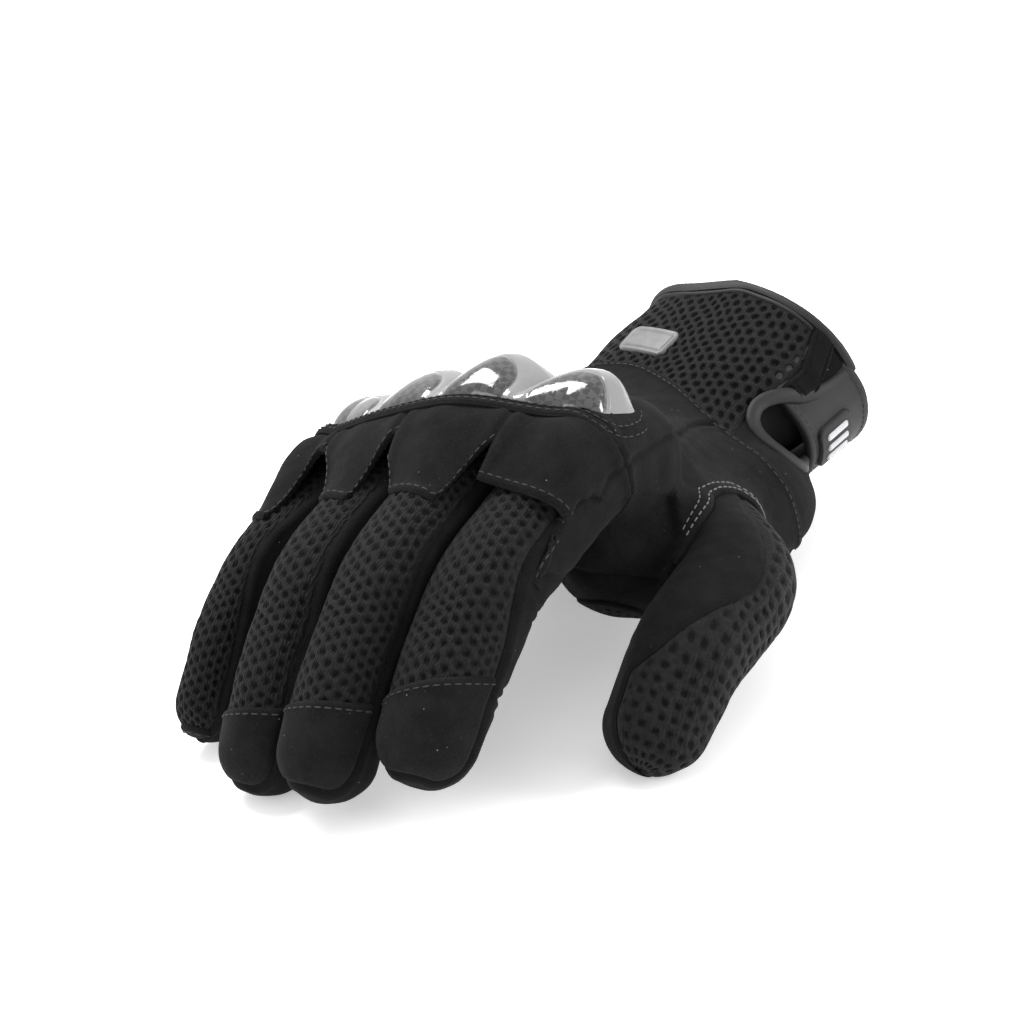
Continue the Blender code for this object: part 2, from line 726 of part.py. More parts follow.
# Strap, hinged along its sewn edge at the back side of the slot.
sewn = [cuff_point(along, STRAP_FROM, strap_lift(STRAP_FROM) - STRAP_THICK / 2) for along in STRAP_BAND]
edge = (sewn[1] - sewn[0]).normalized()
strap_frame = Matrix.Translation((sewn[0] + sewn[1]) / 2) @ edge.to_track_quat("Y", "Z").to_matrix().to_4x4()
strap = empty("strap_axis", strap_frame, wrist)
surface("wrist_strap", strap_rows(STRAP_FROM, STRAP_TO, STRAP_BAND, 16, 0.0, 4.0), STRAP_THICK,
        strap_outward, strap, SUEDE)
surface("strap_badge", strap_rows(-8.0, -30.0, (32.0, 46.0), 5, LAYER_GAP + 1.2), 1.2, strap_outward, strap, BADGE)
surface("strap_hook_patch", strap_rows(-44.0, -80.0, (30.0, 47.0), 6, -STRAP_THICK - LAYER_GAP), 0.8,
        strap_outward, strap, LOOP)
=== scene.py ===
"""The looks of the riding glove: fine surfaces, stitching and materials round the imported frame.

Shapes are worked out in the hand's own frame, in millimetres: +X towards the thumb, +Y back to the cuff,
+Z out of the back of the hand, with the origin in the middle of the wrist. A skin is first made whole, and
its panels are then cut out of it along seam lines, lifted into layers and given their thickness.
"""

import json
import math

import bpy
import numpy as np
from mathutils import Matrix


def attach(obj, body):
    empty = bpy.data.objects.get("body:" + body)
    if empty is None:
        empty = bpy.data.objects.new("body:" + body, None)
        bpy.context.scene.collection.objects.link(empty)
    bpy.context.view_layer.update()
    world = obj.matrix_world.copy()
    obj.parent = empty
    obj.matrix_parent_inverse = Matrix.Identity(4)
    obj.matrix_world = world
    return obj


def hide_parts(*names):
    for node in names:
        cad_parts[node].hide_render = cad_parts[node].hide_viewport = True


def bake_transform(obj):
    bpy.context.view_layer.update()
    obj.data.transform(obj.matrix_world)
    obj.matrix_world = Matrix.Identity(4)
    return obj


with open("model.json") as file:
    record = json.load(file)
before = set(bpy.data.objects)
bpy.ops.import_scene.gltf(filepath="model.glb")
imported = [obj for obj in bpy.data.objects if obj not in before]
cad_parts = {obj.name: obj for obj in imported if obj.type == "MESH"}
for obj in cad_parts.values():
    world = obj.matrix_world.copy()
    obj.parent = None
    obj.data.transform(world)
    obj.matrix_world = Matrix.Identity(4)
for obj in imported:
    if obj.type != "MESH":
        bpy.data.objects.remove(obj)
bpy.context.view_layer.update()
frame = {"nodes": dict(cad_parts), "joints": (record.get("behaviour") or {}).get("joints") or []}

import openvdb
from mathutils import Matrix, Vector, kdtree

MM = 0.001
JOINTS = {joint["name"]: joint for joint in frame["joints"]}

# --- The hand's frame, read from the joints -------------------------------------------------------


def joint_at(name):
    return np.array(JOINTS[name]["pos_m"]) / MM


def joint_axis(name):
    direction = np.array(JOINTS[name]["axis"])
    return direction / np.linalg.norm(direction)


ORIGIN = joint_at("wrist_bend")
HAND_X = joint_axis("wrist_bend")
HAND_Y = np.cross(joint_axis("thumb_swing"), HAND_X)
HAND_Y = HAND_Y / np.linalg.norm(HAND_Y)
HAND_AXES = np.array([HAND_X, HAND_Y, np.cross(HAND_X, HAND_Y)])


def to_hand(point):
    return (np.asarray(point) - ORIGIN) @ HAND_AXES.T


def to_world(point):
    return np.asarray(point) @ HAND_AXES + ORIGIN


def unit(v):
    return v / np.maximum(np.linalg.norm(v, axis=-1, keepdims=True), 1e-9)


def ramp(low, high, value):
    """0 before low, 1 after high, smooth between."""
    t = np.clip((value - low) / (high - low), 0.0, 1.0)
    return t * t * (3 - 2 * t)


def curve_through(stations, values, at):
    """A smooth curve through values at stations, carried on level beyond both ends."""
    x = np.asarray(stations, float)
    y = np.asarray(values, float)
    slope = np.gradient(y, x)
    at = np.asarray(at, float)
    i = np.clip(np.searchsorted(x, at) - 1, 0, len(x) - 2)
    step = x[i + 1] - x[i]
    t = np.clip((at - x[i]) / step, 0.0, 1.0)
    near = (2 * t ** 3 - 3 * t ** 2 + 1) * y[i] + (t ** 3 - 2 * t ** 2 + t) * step * slope[i]
    far = (3 * t ** 2 - 2 * t ** 3) * y[i + 1] + (t ** 3 - t ** 2) * step * slope[i + 1]
    return near + far


def union(a, b, soft):
    """The nearer of two distances, with a fillet of about soft millimetres where they meet."""
    h = np.clip(0.5 + 0.5 * (b - a) / soft, 0.0, 1.0)
    return b + (a - b) * h - soft * h * (1 - h)


# --- Fingers and thumb: a centreline through the joints, and a section round it ---------------------

CORNER = 0.32
LINE_STEP = 1.0


def round_corners(points, trims):
    """A line through points whose corners are replaced by smooth bends that start trims before them."""
    line = [points[0]]
    for before, corner, after, trim in zip(points, points[1:], points[2:], trims):
        start = corner + (before - corner) / np.linalg.norm(before - corner) * trim
        end = corner + (after - corner) / np.linalg.norm(after - corner) * trim
        for t in np.linspace(0.0, 1.0, 13):
            line.append((1 - t) ** 2 * start + 2 * t * (1 - t) * corner + t * t * end)
    line.append(points[-1])
    line = np.array(line)
    run = np.r_[0.0, np.cumsum(np.linalg.norm(np.diff(line, axis=0), axis=1))]
    even = np.linspace(0.0, run[-1], int(run[-1] / LINE_STEP) + 1)
    return np.stack([np.interp(even, run, line[:, k]) for k in range(3)], axis=1)


class Digit:
    """A finger or the thumb. Place s runs along its centreline from the knuckle, the angle phi runs from the
    nail side (0) over the thumb side of the hand (90) to the pad side (180)."""

    def __init__(self, points, nail, wide, high, deep, tip, tail=16.0):
        points = [np.asarray(p, float) for p in points]
        back = unit(np.array([0.0, 1.0, 0.0]) * 0.75 + unit(points[0] - points[1]) * 0.25)
        route = [points[0] + back * tail, *points]
        bones = [np.linalg.norm(b - a) for a, b in zip(route, route[1:])]
        trims = [CORNER * min(a, b) for a, b in zip(bones, bones[1:])]
        self.line = round_corners(route, trims)
        run = np.linalg.norm(np.diff(self.line, axis=0), axis=1)
        self.s = np.r_[0.0, np.cumsum(run)]
        self.joints = []
        for point in points:
            near = np.argmin(np.linalg.norm(self.line - point, axis=1))
            self.joints.append(self.s[near])
        self.s = self.s - self.joints[0]
        self.joints = [j - self.joints[0] for j in self.joints]
        self.tangent = unit(np.gradient(self.line, axis=0))
        for _ in range(4):
            self.tangent[1:-1] = unit(self.tangent[:-2] + 2 * self.tangent[1:-1] + self.tangent[2:])
        nails = np.stack([np.interp(self.s, self.joints, np.array(nail)[:, k]) for k in range(3)], axis=1)
        along = (nails * self.tangent).sum(axis=1, keepdims=True)
        self.up = unit(nails - along * self.tangent)
        self.side = np.cross(self.up, self.tangent)
        self.wide, self.high, self.deep, self.tip = wide, high, deep, tip

    def radius(self, s, phi):
        """Distance from the centreline to the skin."""
        wide = curve_through(self.joints, self.wide, s)
        high = curve_through(self.joints, self.high, s)
        deep = curve_through(self.joints, self.deep, s)
        c = np.cos(phi)
        tall = np.where(c > 0, high, deep)
        return ((np.abs(np.sin(phi)) / wide) ** 2.25 + (np.abs(c) / tall) ** 2.25) ** (-1 / 2.25)

    def frame_at(self, s):
        """Centre, tangent, up and side at places along the line."""
        rows = []
        for table in (self.line, self.tangent, self.up, self.side):
            rows.append(np.stack([np.interp(s, self.s, table[:, k]) for k in range(3)], axis=-1))
        return rows

    def locate(self, p):
        """Distance outside the skin, place s (running on over the tip) and angle phi of points."""
        best = np.full(len(p), 1e9)
        index = np.zeros(len(p), int)
        for i in range(0, len(self.line), 4):
            d = ((p - self.line[i]) ** 2).sum(axis=1)
            nearer = d < best
            best[nearer] = d[nearer]
            index[nearer] = i
        s = self.s[index]
        for _ in range(3):
            centre, tangent, _up, _side = self.frame_at(s)
            s = np.clip(s + ((p - centre) * tangent).sum(axis=1), self.s[0], self.s[-1])
        centre, tangent, up, side = self.frame_at(s)
        away = p - centre
        ahead = np.where(s >= self.s[-1] - 1e-6, (away * tangent).sum(axis=1), 0.0)
        ahead = np.maximum(ahead, 0.0)
        behind = np.where(s <= self.s[0] + 1e-6, -(away * tangent).sum(axis=1), 0.0)
        a = (away * side).sum(axis=1)
        b = (away * up).sum(axis=1)
        phi = np.arctan2(a, b)
        flat = np.hypot(a, b)
        r = self.radius(s, phi)
        squash = np.hypot(flat / r, ahead / self.tip)
        length = np.hypot(flat, ahead)
        distance = np.where(ahead > 0, length * (1 - 1 / np.maximum(squash, 1e-6)), flat - r)
        distance = np.where(behind > 0, np.hypot(flat, behind) - r, distance)
        lean = np.arctan2(ahead, np.maximum(flat, 1e-6))
        return distance, s + lean * r, phi

    def point(self, s, phi):
        """The skin's point at a place and angle; past the line's end the place runs on over the tip."""
        s, phi = np.broadcast_arrays(np.asarray(s, float), np.asarray(phi, float))
        over = np.clip(s - self.s[-1], 0.0, None)
        inside = np.clip(s, self.s[0], self.s[-1])
        centre, tangent, up, side = self.frame_at(inside)
        r = self.radius(inside, phi)
        lean = np.clip(over / r, 0.0, math.pi / 2)
        out = np.cos(phi)[..., None] * up + np.sin(phi)[..., None] * side
        reach = 1 / np.hypot(np.cos(lean) / r, np.sin(lean) / self.tip)
        way = np.cos(lean)[..., None] * out + np.sin(lean)[..., None] * tangent
        return centre + reach[..., None] * way


# Half widths and heights of the digits at the knuckle, the two joints and the tip's centre.
FINGER_SIZES = {
    "index": dict(
        wide=(12.6, 12.8, 12.5, 11.7), high=(12.8, 12.6, 12.0, 11.6),
        deep=(15.0, 14.0, 13.0, 11.9),
    ),
    "middle": dict(
        wide=(12.2, 12.1, 11.8, 11.2), high=(13.0, 12.6, 12.2, 11.8),
        deep=(15.0, 14.0, 13.0, 12.0),
    ),
    "ring": dict(
        wide=(11.8, 11.8, 11.4, 11.0), high=(12.6, 12.2, 11.8, 11.3),
        deep=(14.5, 13.5, 12.4, 11.5),
    ),
    "little": dict(
        wide=(10.2, 9.2, 8.7, 8.5), high=(11.0, 10.4, 10.2, 10.0),
        deep=(12.5, 11.0, 10.6, 10.4),
    ),
}
TIP_BONES = {"index": 15.4, "middle": 18.5, "ring": 18.5, "little": 17.0}
TIP_FLEX = 10.0
THUMB_TIP = 20.4
THUMB_TIP_AIM = (-4.0, 61.7)
THUMB_NAIL = (0.70, -0.33, 0.63)


def turned(v, about, degrees):
    a = math.radians(degrees)
    return v * math.cos(a) + np.cross(about, v) * math.sin(a) + about * (v @ about) * (1 - math.cos(a))


def make_finger(name):
    knuckle = to_hand(joint_at(f"{name}_knuckle"))
    middle = to_hand(joint_at(f"{name}_middle_joint"))
    end = to_hand(joint_at(f"{name}_end_joint"))
    hinge = HAND_AXES @ joint_axis(f"{name}_knuckle")
    last = end + turned(unit(end - middle), hinge, TIP_FLEX) * TIP_BONES[name]
    nails = [np.cross(hinge, unit(b - a)) for a, b in ((knuckle, middle), (middle, end), (end, last))]
    nails = [nails[0], unit(nails[0] + nails[1]), unit(nails[1] + nails[2]), nails[2]]
    nails = [n if n[2] > 0 or n[1] < 0 else -n for n in nails]
    sizes = FINGER_SIZES[name]
    return Digit((knuckle, middle, end, last), nails, tip=sizes["high"][3], **sizes)


def make_thumb():
    root = to_hand(joint_at("thumb_swing"))
    middle = to_hand(joint_at("thumb_middle_joint"))
    end = to_hand(joint_at("thumb_end_joint"))
    a, b = np.radians(THUMB_TIP_AIM)
    last = end + THUMB_TIP * np.array([math.sin(a) * math.cos(b), -math.cos(a) * math.cos(b), -math.sin(b)])
    nails = [np.array(THUMB_NAIL)] * 4
    return Digit((root, middle, end, last), nails, tip=12.4, tail=20.0,
                 wide=(16.5, 15.9, 14.5, 12.9), high=(15.5, 15.0, 13.6, 12.6), deep=(17.0, 16.5, 14.8, 12.8))


FINGERS = {name: make_finger(name) for name in ("little", "ring", "middle", "index")}
THUMB = make_thumb()

# --- The hand and cuff: one smooth skin -------------------------------------------------------------

# Sections of the hand: forward, little-finger edge, thumb edge, height up, depth down, arch.
HAND_SECTIONS = np.array((
    (-20.0, -31.0, 31.0, 20.0, 21.0, 0.0),
    (0.0, -33.0, 33.0, 20.0, 22.0, 0.0),
    (28.0, -42.0, 38.0, 19.0, 24.0, 0.2),
    (58.0, -48.5, 46.0, 14.0, 20.0, 0.95),
    (84.0, -48.5, 49.5, 12.8, 15.0, 1.0),
))
SECTION_POWER = 2 / 0.7
HAND_FRONT = 88.0
FRONT_FILLET = 9.0
CUFF_BEND = math.radians(42.5)
CUFF_DRIFT = math.radians(13.3)
# Sections of the cuff: place along it, half width and half height.
CUFF_SECTIONS = np.array((
    (-12.0, 33.0, 22.5), (0.0, 34.0, 23.5), (20.0, 34.5, 25.0), (40.0, 37.5, 26.5), (62.0, 41.0, 28.5),
))
CUFF_END = 61.0
CUFF_BULGE = 6.0
CUFF_TUCK = 2.0
CUFF_POWER = 2.6
THUMB_SIDE_POWER = 2.2
KNUCKLES = np.array([to_hand(joint_at(f"{name}_knuckle")) for name in FINGERS])


def knuckle_forward(across):
    return curve_through(KNUCKLES[:, 0], -KNUCKLES[:, 1], across)


def knuckle_up(across):
    return curve_through(KNUCKLES[:, 0], KNUCKLES[:, 2], across)


def hand_distance(p):
    x, f, z = p[:, 0], -p[:, 1], p[:, 2]
    place, *sizes = HAND_SECTIONS.T
    low, high, up, down, arch = (curve_through(place, size, f) for size in sizes)
    half = (high - low) / 2
    u = (x - (low + high) / 2) / half
    v = z - knuckle_up(x) * arch
    tall = np.where(v > 0, up, down)
    v = v / tall
    size = np.sqrt(u * u + np.abs(v) ** SECTION_POWER) + 1e-6
    slope = np.hypot(2 * u / half, SECTION_POWER * np.abs(v) ** (SECTION_POWER - 1) / tall) / (2 * size)
    section = np.clip((size - 1) / np.maximum(slope, 0.02), -14.0, 60.0)
    front = f - HAND_FRONT
    rear = -f - 14.0
    return np.maximum(-union(-section, -front, FRONT_FILLET), rear)


def cuff_place(p):
    """(along, across, up) of points in the cuff's own leaning frame."""
    c, s = math.cos(CUFF_BEND), math.sin(CUFF_BEND)
    y = p[:, 1] * c + p[:, 2] * s
    z = -p[:, 1] * s + p[:, 2] * c
    c, s = math.cos(CUFF_DRIFT), math.sin(CUFF_DRIFT)
    return p[:, 0] * s + y * c, p[:, 0] * c - y * s, z


def cuff_section(along, across):
    """Half width, half height and power of the cuff's section, on the side that across points to."""
    wide = curve_through(CUFF_SECTIONS[:, 0], CUFF_SECTIONS[:, 1], along)
    high = curve_through(CUFF_SECTIONS[:, 0], CUFF_SECTIONS[:, 2], along)
    outer = CUFF_BULGE * ramp(-4.0, 16.0, along) * ramp(58.0, 30.0, along)
    wide = wide + np.where(across < 0, outer, -CUFF_TUCK * ramp(30.0, 58.0, along))
    return wide, high, np.where(across < 0, CUFF_POWER, THUMB_SIDE_POWER)


def cuff_distance(p):
    along, across, up = cuff_place(p)
    wide, high, power = cuff_section(along, across)
    size = (np.abs(across / wide) ** power + np.abs(up / high) ** power + 1e-9) ** (1 / power)
    slope = np.hypot(np.abs(across / wide) ** (power - 1) / wide, np.abs(up / high) ** (power - 1) / high)
    slope = slope / size ** (power - 1)
    section = np.clip((size - 1) / np.maximum(slope, 0.02), -14.0, 60.0)
    return np.maximum(section, np.maximum(-along - 6.0, along - CUFF_END - 14.0))


def ball_distance(p, centre, radii):
    q = (p - np.array(centre)) / np.array(radii)
    size = np.linalg.norm(q, axis=1) + 1e-6
    slope = np.linalg.norm(q / np.array(radii), axis=1) / size
    return (size - 1) / np.maximum(slope, 0.01)


# The bed under the guard: where it starts to fall away, how far it reaches, its half length and its depth.
BED_FRONT, BED_REACH, BED_HALF = 17.0, 27.0, 49.0
BED_DROP, BED_DEEP, BED_FILLET = 0.6, 11.0, 7.0
# Padding under the skin: the ball of the thumb, the heel's outer edge, the palm by the web, the wrist.
BALLS = (
    ((24.0, -34.0, -15.0), (21.0, 30.0, 13.0), 10.0),
    ((-26.0, -34.0, -10.0), (19.0, 34.0, 16.0), 10.0),
    ((33.0, -50.0, -20.0), (17.0, 26.0, 17.5), 10.0),
    ((38.5, 3.0, -6.0), (16.0, 25.0, 17.0), 9.0),
)
# How wide the fillets are where the thumb, the wrist and the fingers meet the hand.
THUMB_FILLET = 13.0
WRIST_FILLET = 12.0
FINGER_FILLET = 7.0

# The guard: a dome over each knuckle, the grooves between them, and the stitched band round it.
DOME_HEIGHTS = {"little": 6.5, "ring": 7.8, "middle": 8.8, "index": 8.0}
DOME_HALF = 12.25
GROOVE_HEIGHT = 2.4
GUARD_HALF = 14.0
GUARD_FROM, GUARD_TO = -47.0, 48.0
GUARD_SEAT = 14.2
GUARD_DIP = 0.22
FRAME_REACH = 48.8
FRAME_BAND = 4.2
FRAME_HEIGHT = 2.2
LAYER_GAP = 0.5


def guard_base(x, f):
    return knuckle_up(x) + GUARD_SEAT - GUARD_DIP * np.maximum(0, f - knuckle_forward(x) + 4)


def end_droop(x):
    return 0.06 * np.maximum(0, np.abs(x - 0.5) - 40) ** 2


def bed_distance(p):
    """The padded bed under the knuckle guard, which falls away softly onto the fingers in front of it."""
    x, f, z = p[:, 0], -p[:, 1], p[:, 2]
    deep = f - knuckle_forward(np.clip(x, GUARD_FROM, GUARD_TO)) + 1
    fall = 0.13 * np.clip(deep - BED_FRONT, 0, None) ** 2 + 0.05 * np.clip(-deep - BED_FRONT, 0, None) ** 2
    top = guard_base(x, f) - BED_DROP - end_droop(x) - fall
    ends = np.abs(x - 0.5) - BED_HALF
    sides = np.abs(deep) - BED_REACH
    d = -union(-(z - top) * 0.9, union(-ends, -sides, 5.0), 5.0)
    return np.maximum(d, top - BED_DEEP - z)


def skin_distance(p):
    """Distance outside the skin of the hand, the finger roots, the thumb's root and the cuff."""
    d = hand_distance(p)
    for centre, radii, soft in BALLS:
        d = union(d, ball_distance(p, centre, radii), soft)
    d = union(d, cuff_distance(p), WRIST_FILLET)
    d = union(d, bed_distance(p), BED_FILLET)
    for digit in FINGERS.values():
        near = (p - digit.line[0]) @ digit.tangent[0] > -14.0
        away = np.full(len(p), 60.0)
        away[near] = digit.locate(p[near])[0]
        d = union(d, away, FINGER_FILLET)
    return union(d, THUMB.locate(p)[0], THUMB_FILLET)


# --- Skins: triangles with a normal and named values at each point ------------------------------------


# A skin's corner this near a cut, as a share of its side, is moved onto the cut.
SNAP = 0.18


def sides_of(faces):
    return np.concatenate([faces[:, [0, 1]], faces[:, [1, 2]], faces[:, [2, 0]]])


class Skin:
    """Triangles on a surface. values holds named numbers at each point, in millimetres or degrees."""

    def __init__(self, points, normals, faces, values):
        self.points, self.normals, self.faces, self.values = points, normals, faces, values

    def clip(self, name_or_array):
        """The part where a value is above zero, cut cleanly along its zero line."""
        g = self.values[name_or_array] if isinstance(name_or_array, str) else name_or_array
        points = self.points.copy()
        g = g.copy()
        edges = np.unique(np.sort(sides_of(self.faces), axis=1), axis=0)
        ga, gb = g[edges[:, 0]], g[edges[:, 1]]
        cross = (ga > 0) != (gb > 0)
        edges, ga, gb = edges[cross], ga[cross], gb[cross]
        t = ga / (ga - gb)
        for end, near in ((0, t < SNAP), (1, t > 1 - SNAP)):
            at = points[edges[near, 0]] * (1 - t[near, None]) + points[edges[near, 1]] * t[near, None]
            points[edges[near, end]] = at
            g[edges[near, end]] = 0.0
        table = [points, self.normals, *[v[:, None] for v in self.values.values()]]
        table = np.concatenate(table, axis=1)
        inside = g > 0
        on = g == 0
        faces = self.faces
        use = inside[faces].any(axis=1) & ~((~inside & ~on)[faces].any(axis=1))
        kept = [faces[use]]
        mixed = faces[inside[faces].any(axis=1) & (~inside & ~on)[faces].any(axis=1)]
        new, index = [], {}
        base = len(points)

        def crossing(a, b):
            key = (min(a, b), max(a, b))
            if key not in index:
                share = g[a] / (g[a] - g[b])
                index[key] = base + len(new)
                new.append(table[a] * (1 - share) + table[b] * share)
            return index[key]

        extra = []
        for face in mixed:
            ring = []
            for a, b in zip(face, np.roll(face, -1)):
                if g[a] >= 0:
                    ring.append(a)
                if g[a] * g[b] < 0:
                    ring.append(crossing(a, b))
            for k in range(1, len(ring) - 1):
                extra.append((ring[0], ring[k], ring[k + 1]))
        if new:
            table = np.concatenate([table, np.array(new)])
            kept.append(np.array(extra, int))
        faces = np.concatenate(kept)
        used = np.unique(faces)
        renumber = np.full(len(table), -1)
        renumber[used] = np.arange(len(used))
        table = table[used]
        values = {name: table[:, 6 + k] for k, name in enumerate(self.values)}
        return Skin(table[:, :3], unit(table[:, 3:6]), renumber[faces], values)

    def refined(self):
        """Each triangle in four."""
        f = self.faces
        sides, back = np.unique(np.sort(sides_of(f), axis=1), axis=0, return_inverse=True)
        back = back.reshape(3, -1) + len(self.points)
        faces = np.concatenate([
            np.stack([f[:, 0], back[0], back[2]], 1), np.stack([f[:, 1], back[1], back[0]], 1),
            np.stack([f[:, 2], back[2], back[1]], 1), np.stack([back[0], back[1], back[2]], 1)])

        def halved(v):
            return np.concatenate([v, (v[sides[:, 0]] + v[sides[:, 1]]) / 2])

        values = {name: halved(v) for name, v in self.values.items()}
        return Skin(halved(self.points), unit(halved(self.normals)), faces, values)

    def __len__(self):
        return len(self.faces)


def grid_skin(points, normals, values):
    """A skin from an even grid of points and their normals."""
    rows, columns = points.shape[:2]
    index = np.arange(rows * columns).reshape(rows, columns)
    a, b, c, d = index[:-1, :-1], index[1:, :-1], index[1:, 1:], index[:-1, 1:]
    faces = np.concatenate([np.stack([a, b, c], -1).reshape(-1, 3), np.stack([a, c, d], -1).reshape(-1, 3)])
    points, normals = points.reshape(-1, 3), unit(normals.reshape(-1, 3))
    a, b, c = (points[faces[:, k]] for k in range(3))
    if (np.cross(b - a, c - a) * normals[faces[:, 0]]).sum() < 0:
        faces = faces[:, ::-1]
    return Skin(points, normals, faces, {name: np.ravel(value) for name, value in values.items()})


def outline_distance(outline, u, v):
    """Signed distance inside a closed outline of (u, v) corners; above zero inside."""
    points = np.asarray(outline, float)
    best = np.full(u.shape, 1e9)
    inside = np.zeros(u.shape, bool)
    for (ax, ay), (bx, by) in zip(points, np.roll(points, -1, axis=0)):
        dx, dy = bx - ax, by - ay
        t = np.clip(((u - ax) * dx + (v - ay) * dy) / (dx * dx + dy * dy), 0, 1)
        best = np.minimum(best, (u - ax - t * dx) ** 2 + (v - ay - t * dy) ** 2)
        span = (ay > v) != (by > v)
        inside ^= span & (u < (bx - ax) * (v - ay) / (by - ay + 1e-12) + ax)
    return np.where(inside, 1, -1) * np.sqrt(best)


def rounded(outline, passes=2):
    """A closed outline with its corners cut smooth."""
    points = np.asarray(outline, float)
    for _ in range(passes):
        after = np.roll(points, -1, axis=0)
        pairs = [0.75 * points + 0.25 * after, 0.25 * points + 0.75 * after]
        points = np.stack(pairs, axis=1).reshape(-1, 2)
    return points


def skin_from_field(field, low, high, step):
    """The zero surface of a distance field, polished onto it, with its normals."""
    low = np.array(low, float)
    count = np.ceil((np.array(high) - low) / step).astype(int) + 1
    axes = [low[k] + step * np.arange(count[k]) for k in range(3)]
    coarse_step = step * 3
    coarse = [low[k] + coarse_step * np.arange(count[k] // 3 + 2) for k in range(3)]
    where = np.stack(np.meshgrid(*coarse, indexing="ij"), -1)
    rough = field(where.reshape(-1, 3)).reshape(where.shape[:3])
    cells = [np.clip(np.arange(count[k]) // 3, 0, len(coarse[k]) - 1) for k in range(3)]
    full = rough[np.ix_(*cells)]
    near = np.abs(full) < coarse_step * 2.6
    places = np.stack([axes[k][i] for k, i in enumerate(np.nonzero(near))], axis=1)
    full[near] = field(places)
    grid = openvdb.FloatGrid(float(coarse_step * 4))
    grid.copyFromArray(full.astype(np.float32))
    points, quads = grid.convertToQuads(0.0)
    points = points.astype(float) * step + low
    for _ in range(2):
        d, normals = field_slope(field, points)
        points = points - np.clip(d, -1, 1)[:, None] * normals
    _d, normals = field_slope(field, points)
    quads = quads.astype(int)
    faces = np.concatenate([quads[:, [0, 1, 2]], quads[:, [0, 2, 3]]])
    a, b, c = (points[faces[:, k]] for k in range(3))
    facing = (np.cross(b - a, c - a) * normals[faces[:, 0]]).sum()
    if facing < 0:
        faces = faces[:, ::-1]
    return Skin(points, normals, faces, {})


def field_slope(field, points, reach=0.25):
    d = field(points)
    slope = np.stack([field(points + reach * np.eye(3)[k]) - d for k in range(3)], axis=1) / reach
    size = np.linalg.norm(slope, axis=1)
    return d / np.maximum(size, 0.3), unit(slope)


MEAN_RADIUS = 12.0


def tube_skin(digit, start, end, low, high, step):
    """Part of a digit's skin between two places and two angles in degrees, as an even grid."""
    rows = int((end - start) / step) + 1
    across = int(math.radians(high - low) * MEAN_RADIUS / step) + 1
    angles = np.radians(np.linspace(low, high, across))
    s, phi = np.meshgrid(np.linspace(start, end, rows), angles, indexing="ij")
    points = digit.point(s, phi)
    du = np.gradient(points, axis=0)
    dv = np.gradient(points, axis=1)
    normals = unit(np.cross(du, dv))
    centre = digit.frame_at(np.clip(s, digit.s[0], digit.s[-1]))[0]
    if ((points - centre) * normals).sum() < 0:
        normals = -normals
    normals[-1] = digit.tangent[-1]
    return grid_skin(points, normals, {"s": s, "phi": np.degrees(phi), "t": phi * MEAN_RADIUS})


# --- Pieces ---------------------------------------------------------------------------------------


KNIT_WARP = 0.45
SHARP = 48.0


def knit(u, v, pitch, hole, square=False):
    """How deep in a knitted hole a place is, 0 on the yarn to 1 at the bottom; the air mesh also paints
    shade in its holes by it.
    """
    row = pitch * (0.92 if square else math.sqrt(3) / 2)
    u, v = u + KNIT_WARP * np.sin(0.33 * v + 0.12 * u), v + KNIT_WARP * np.sin(0.41 * u - 0.2 * v)
    best = np.full(u.shape, 1e9)
    for shift in (0.0, 1.0):
        k = np.round((v / row - shift) / 2) * 2 + shift
        offset = shift * pitch * (0.12 if square else 0.5)
        c = np.round((u - offset) / pitch) * pitch + offset
        if square:
            d = (np.abs(u - c) ** 3 + np.abs(v - k * row) ** 3) ** (1 / 3)
        else:
            d = np.hypot(u - c, v - k * row)
        best = np.minimum(best, d)
    return 1 - ramp(hole * 0.45, hole, best)


def mesh_object(name, points, faces, looks, face_looks=None, hole=None):
    """An object from points in the hand's frame, smooth shaded, with its materials.
    What would reach below the ground is pressed flat on it."""
    mesh = bpy.data.meshes.new(name)
    mesh.vertices.add(len(points))
    places = to_world(points)
    places[:, 2] = np.maximum(places[:, 2], 0.0)
    mesh.vertices.foreach_set("co", (places * MM).astype(np.float32).ravel())
    mesh.loops.add(faces.size)
    mesh.loops.foreach_set("vertex_index", faces.astype(np.int32).ravel())
    mesh.polygons.add(len(faces))
    mesh.polygons.foreach_set("loop_start", np.arange(0, faces.size, faces.shape[1], dtype=np.int32))
    mesh.update(calc_edges=True)
    for look in looks:
        mesh.materials.append(look)
    if face_looks is not None:
        mesh.polygons.foreach_set("material_index", face_looks.astype(np.int32))
    # The stored hole value is a mask for painted colour: shade painted down in the air mesh's holes, and the
    # dark ovals left out of the guard shell's painted reflection.
    if hole is not None:
        mesh.attributes.new("hole", "FLOAT", "POINT").data.foreach_set("value", hole.astype(np.float32))
    mesh.validate()
    mesh.shade_smooth()
    mesh.set_sharp_from_angle(angle=math.radians(SHARP))
    made = bpy.data.objects.new(name, mesh)
    bpy.context.scene.collection.objects.link(made)
    return made


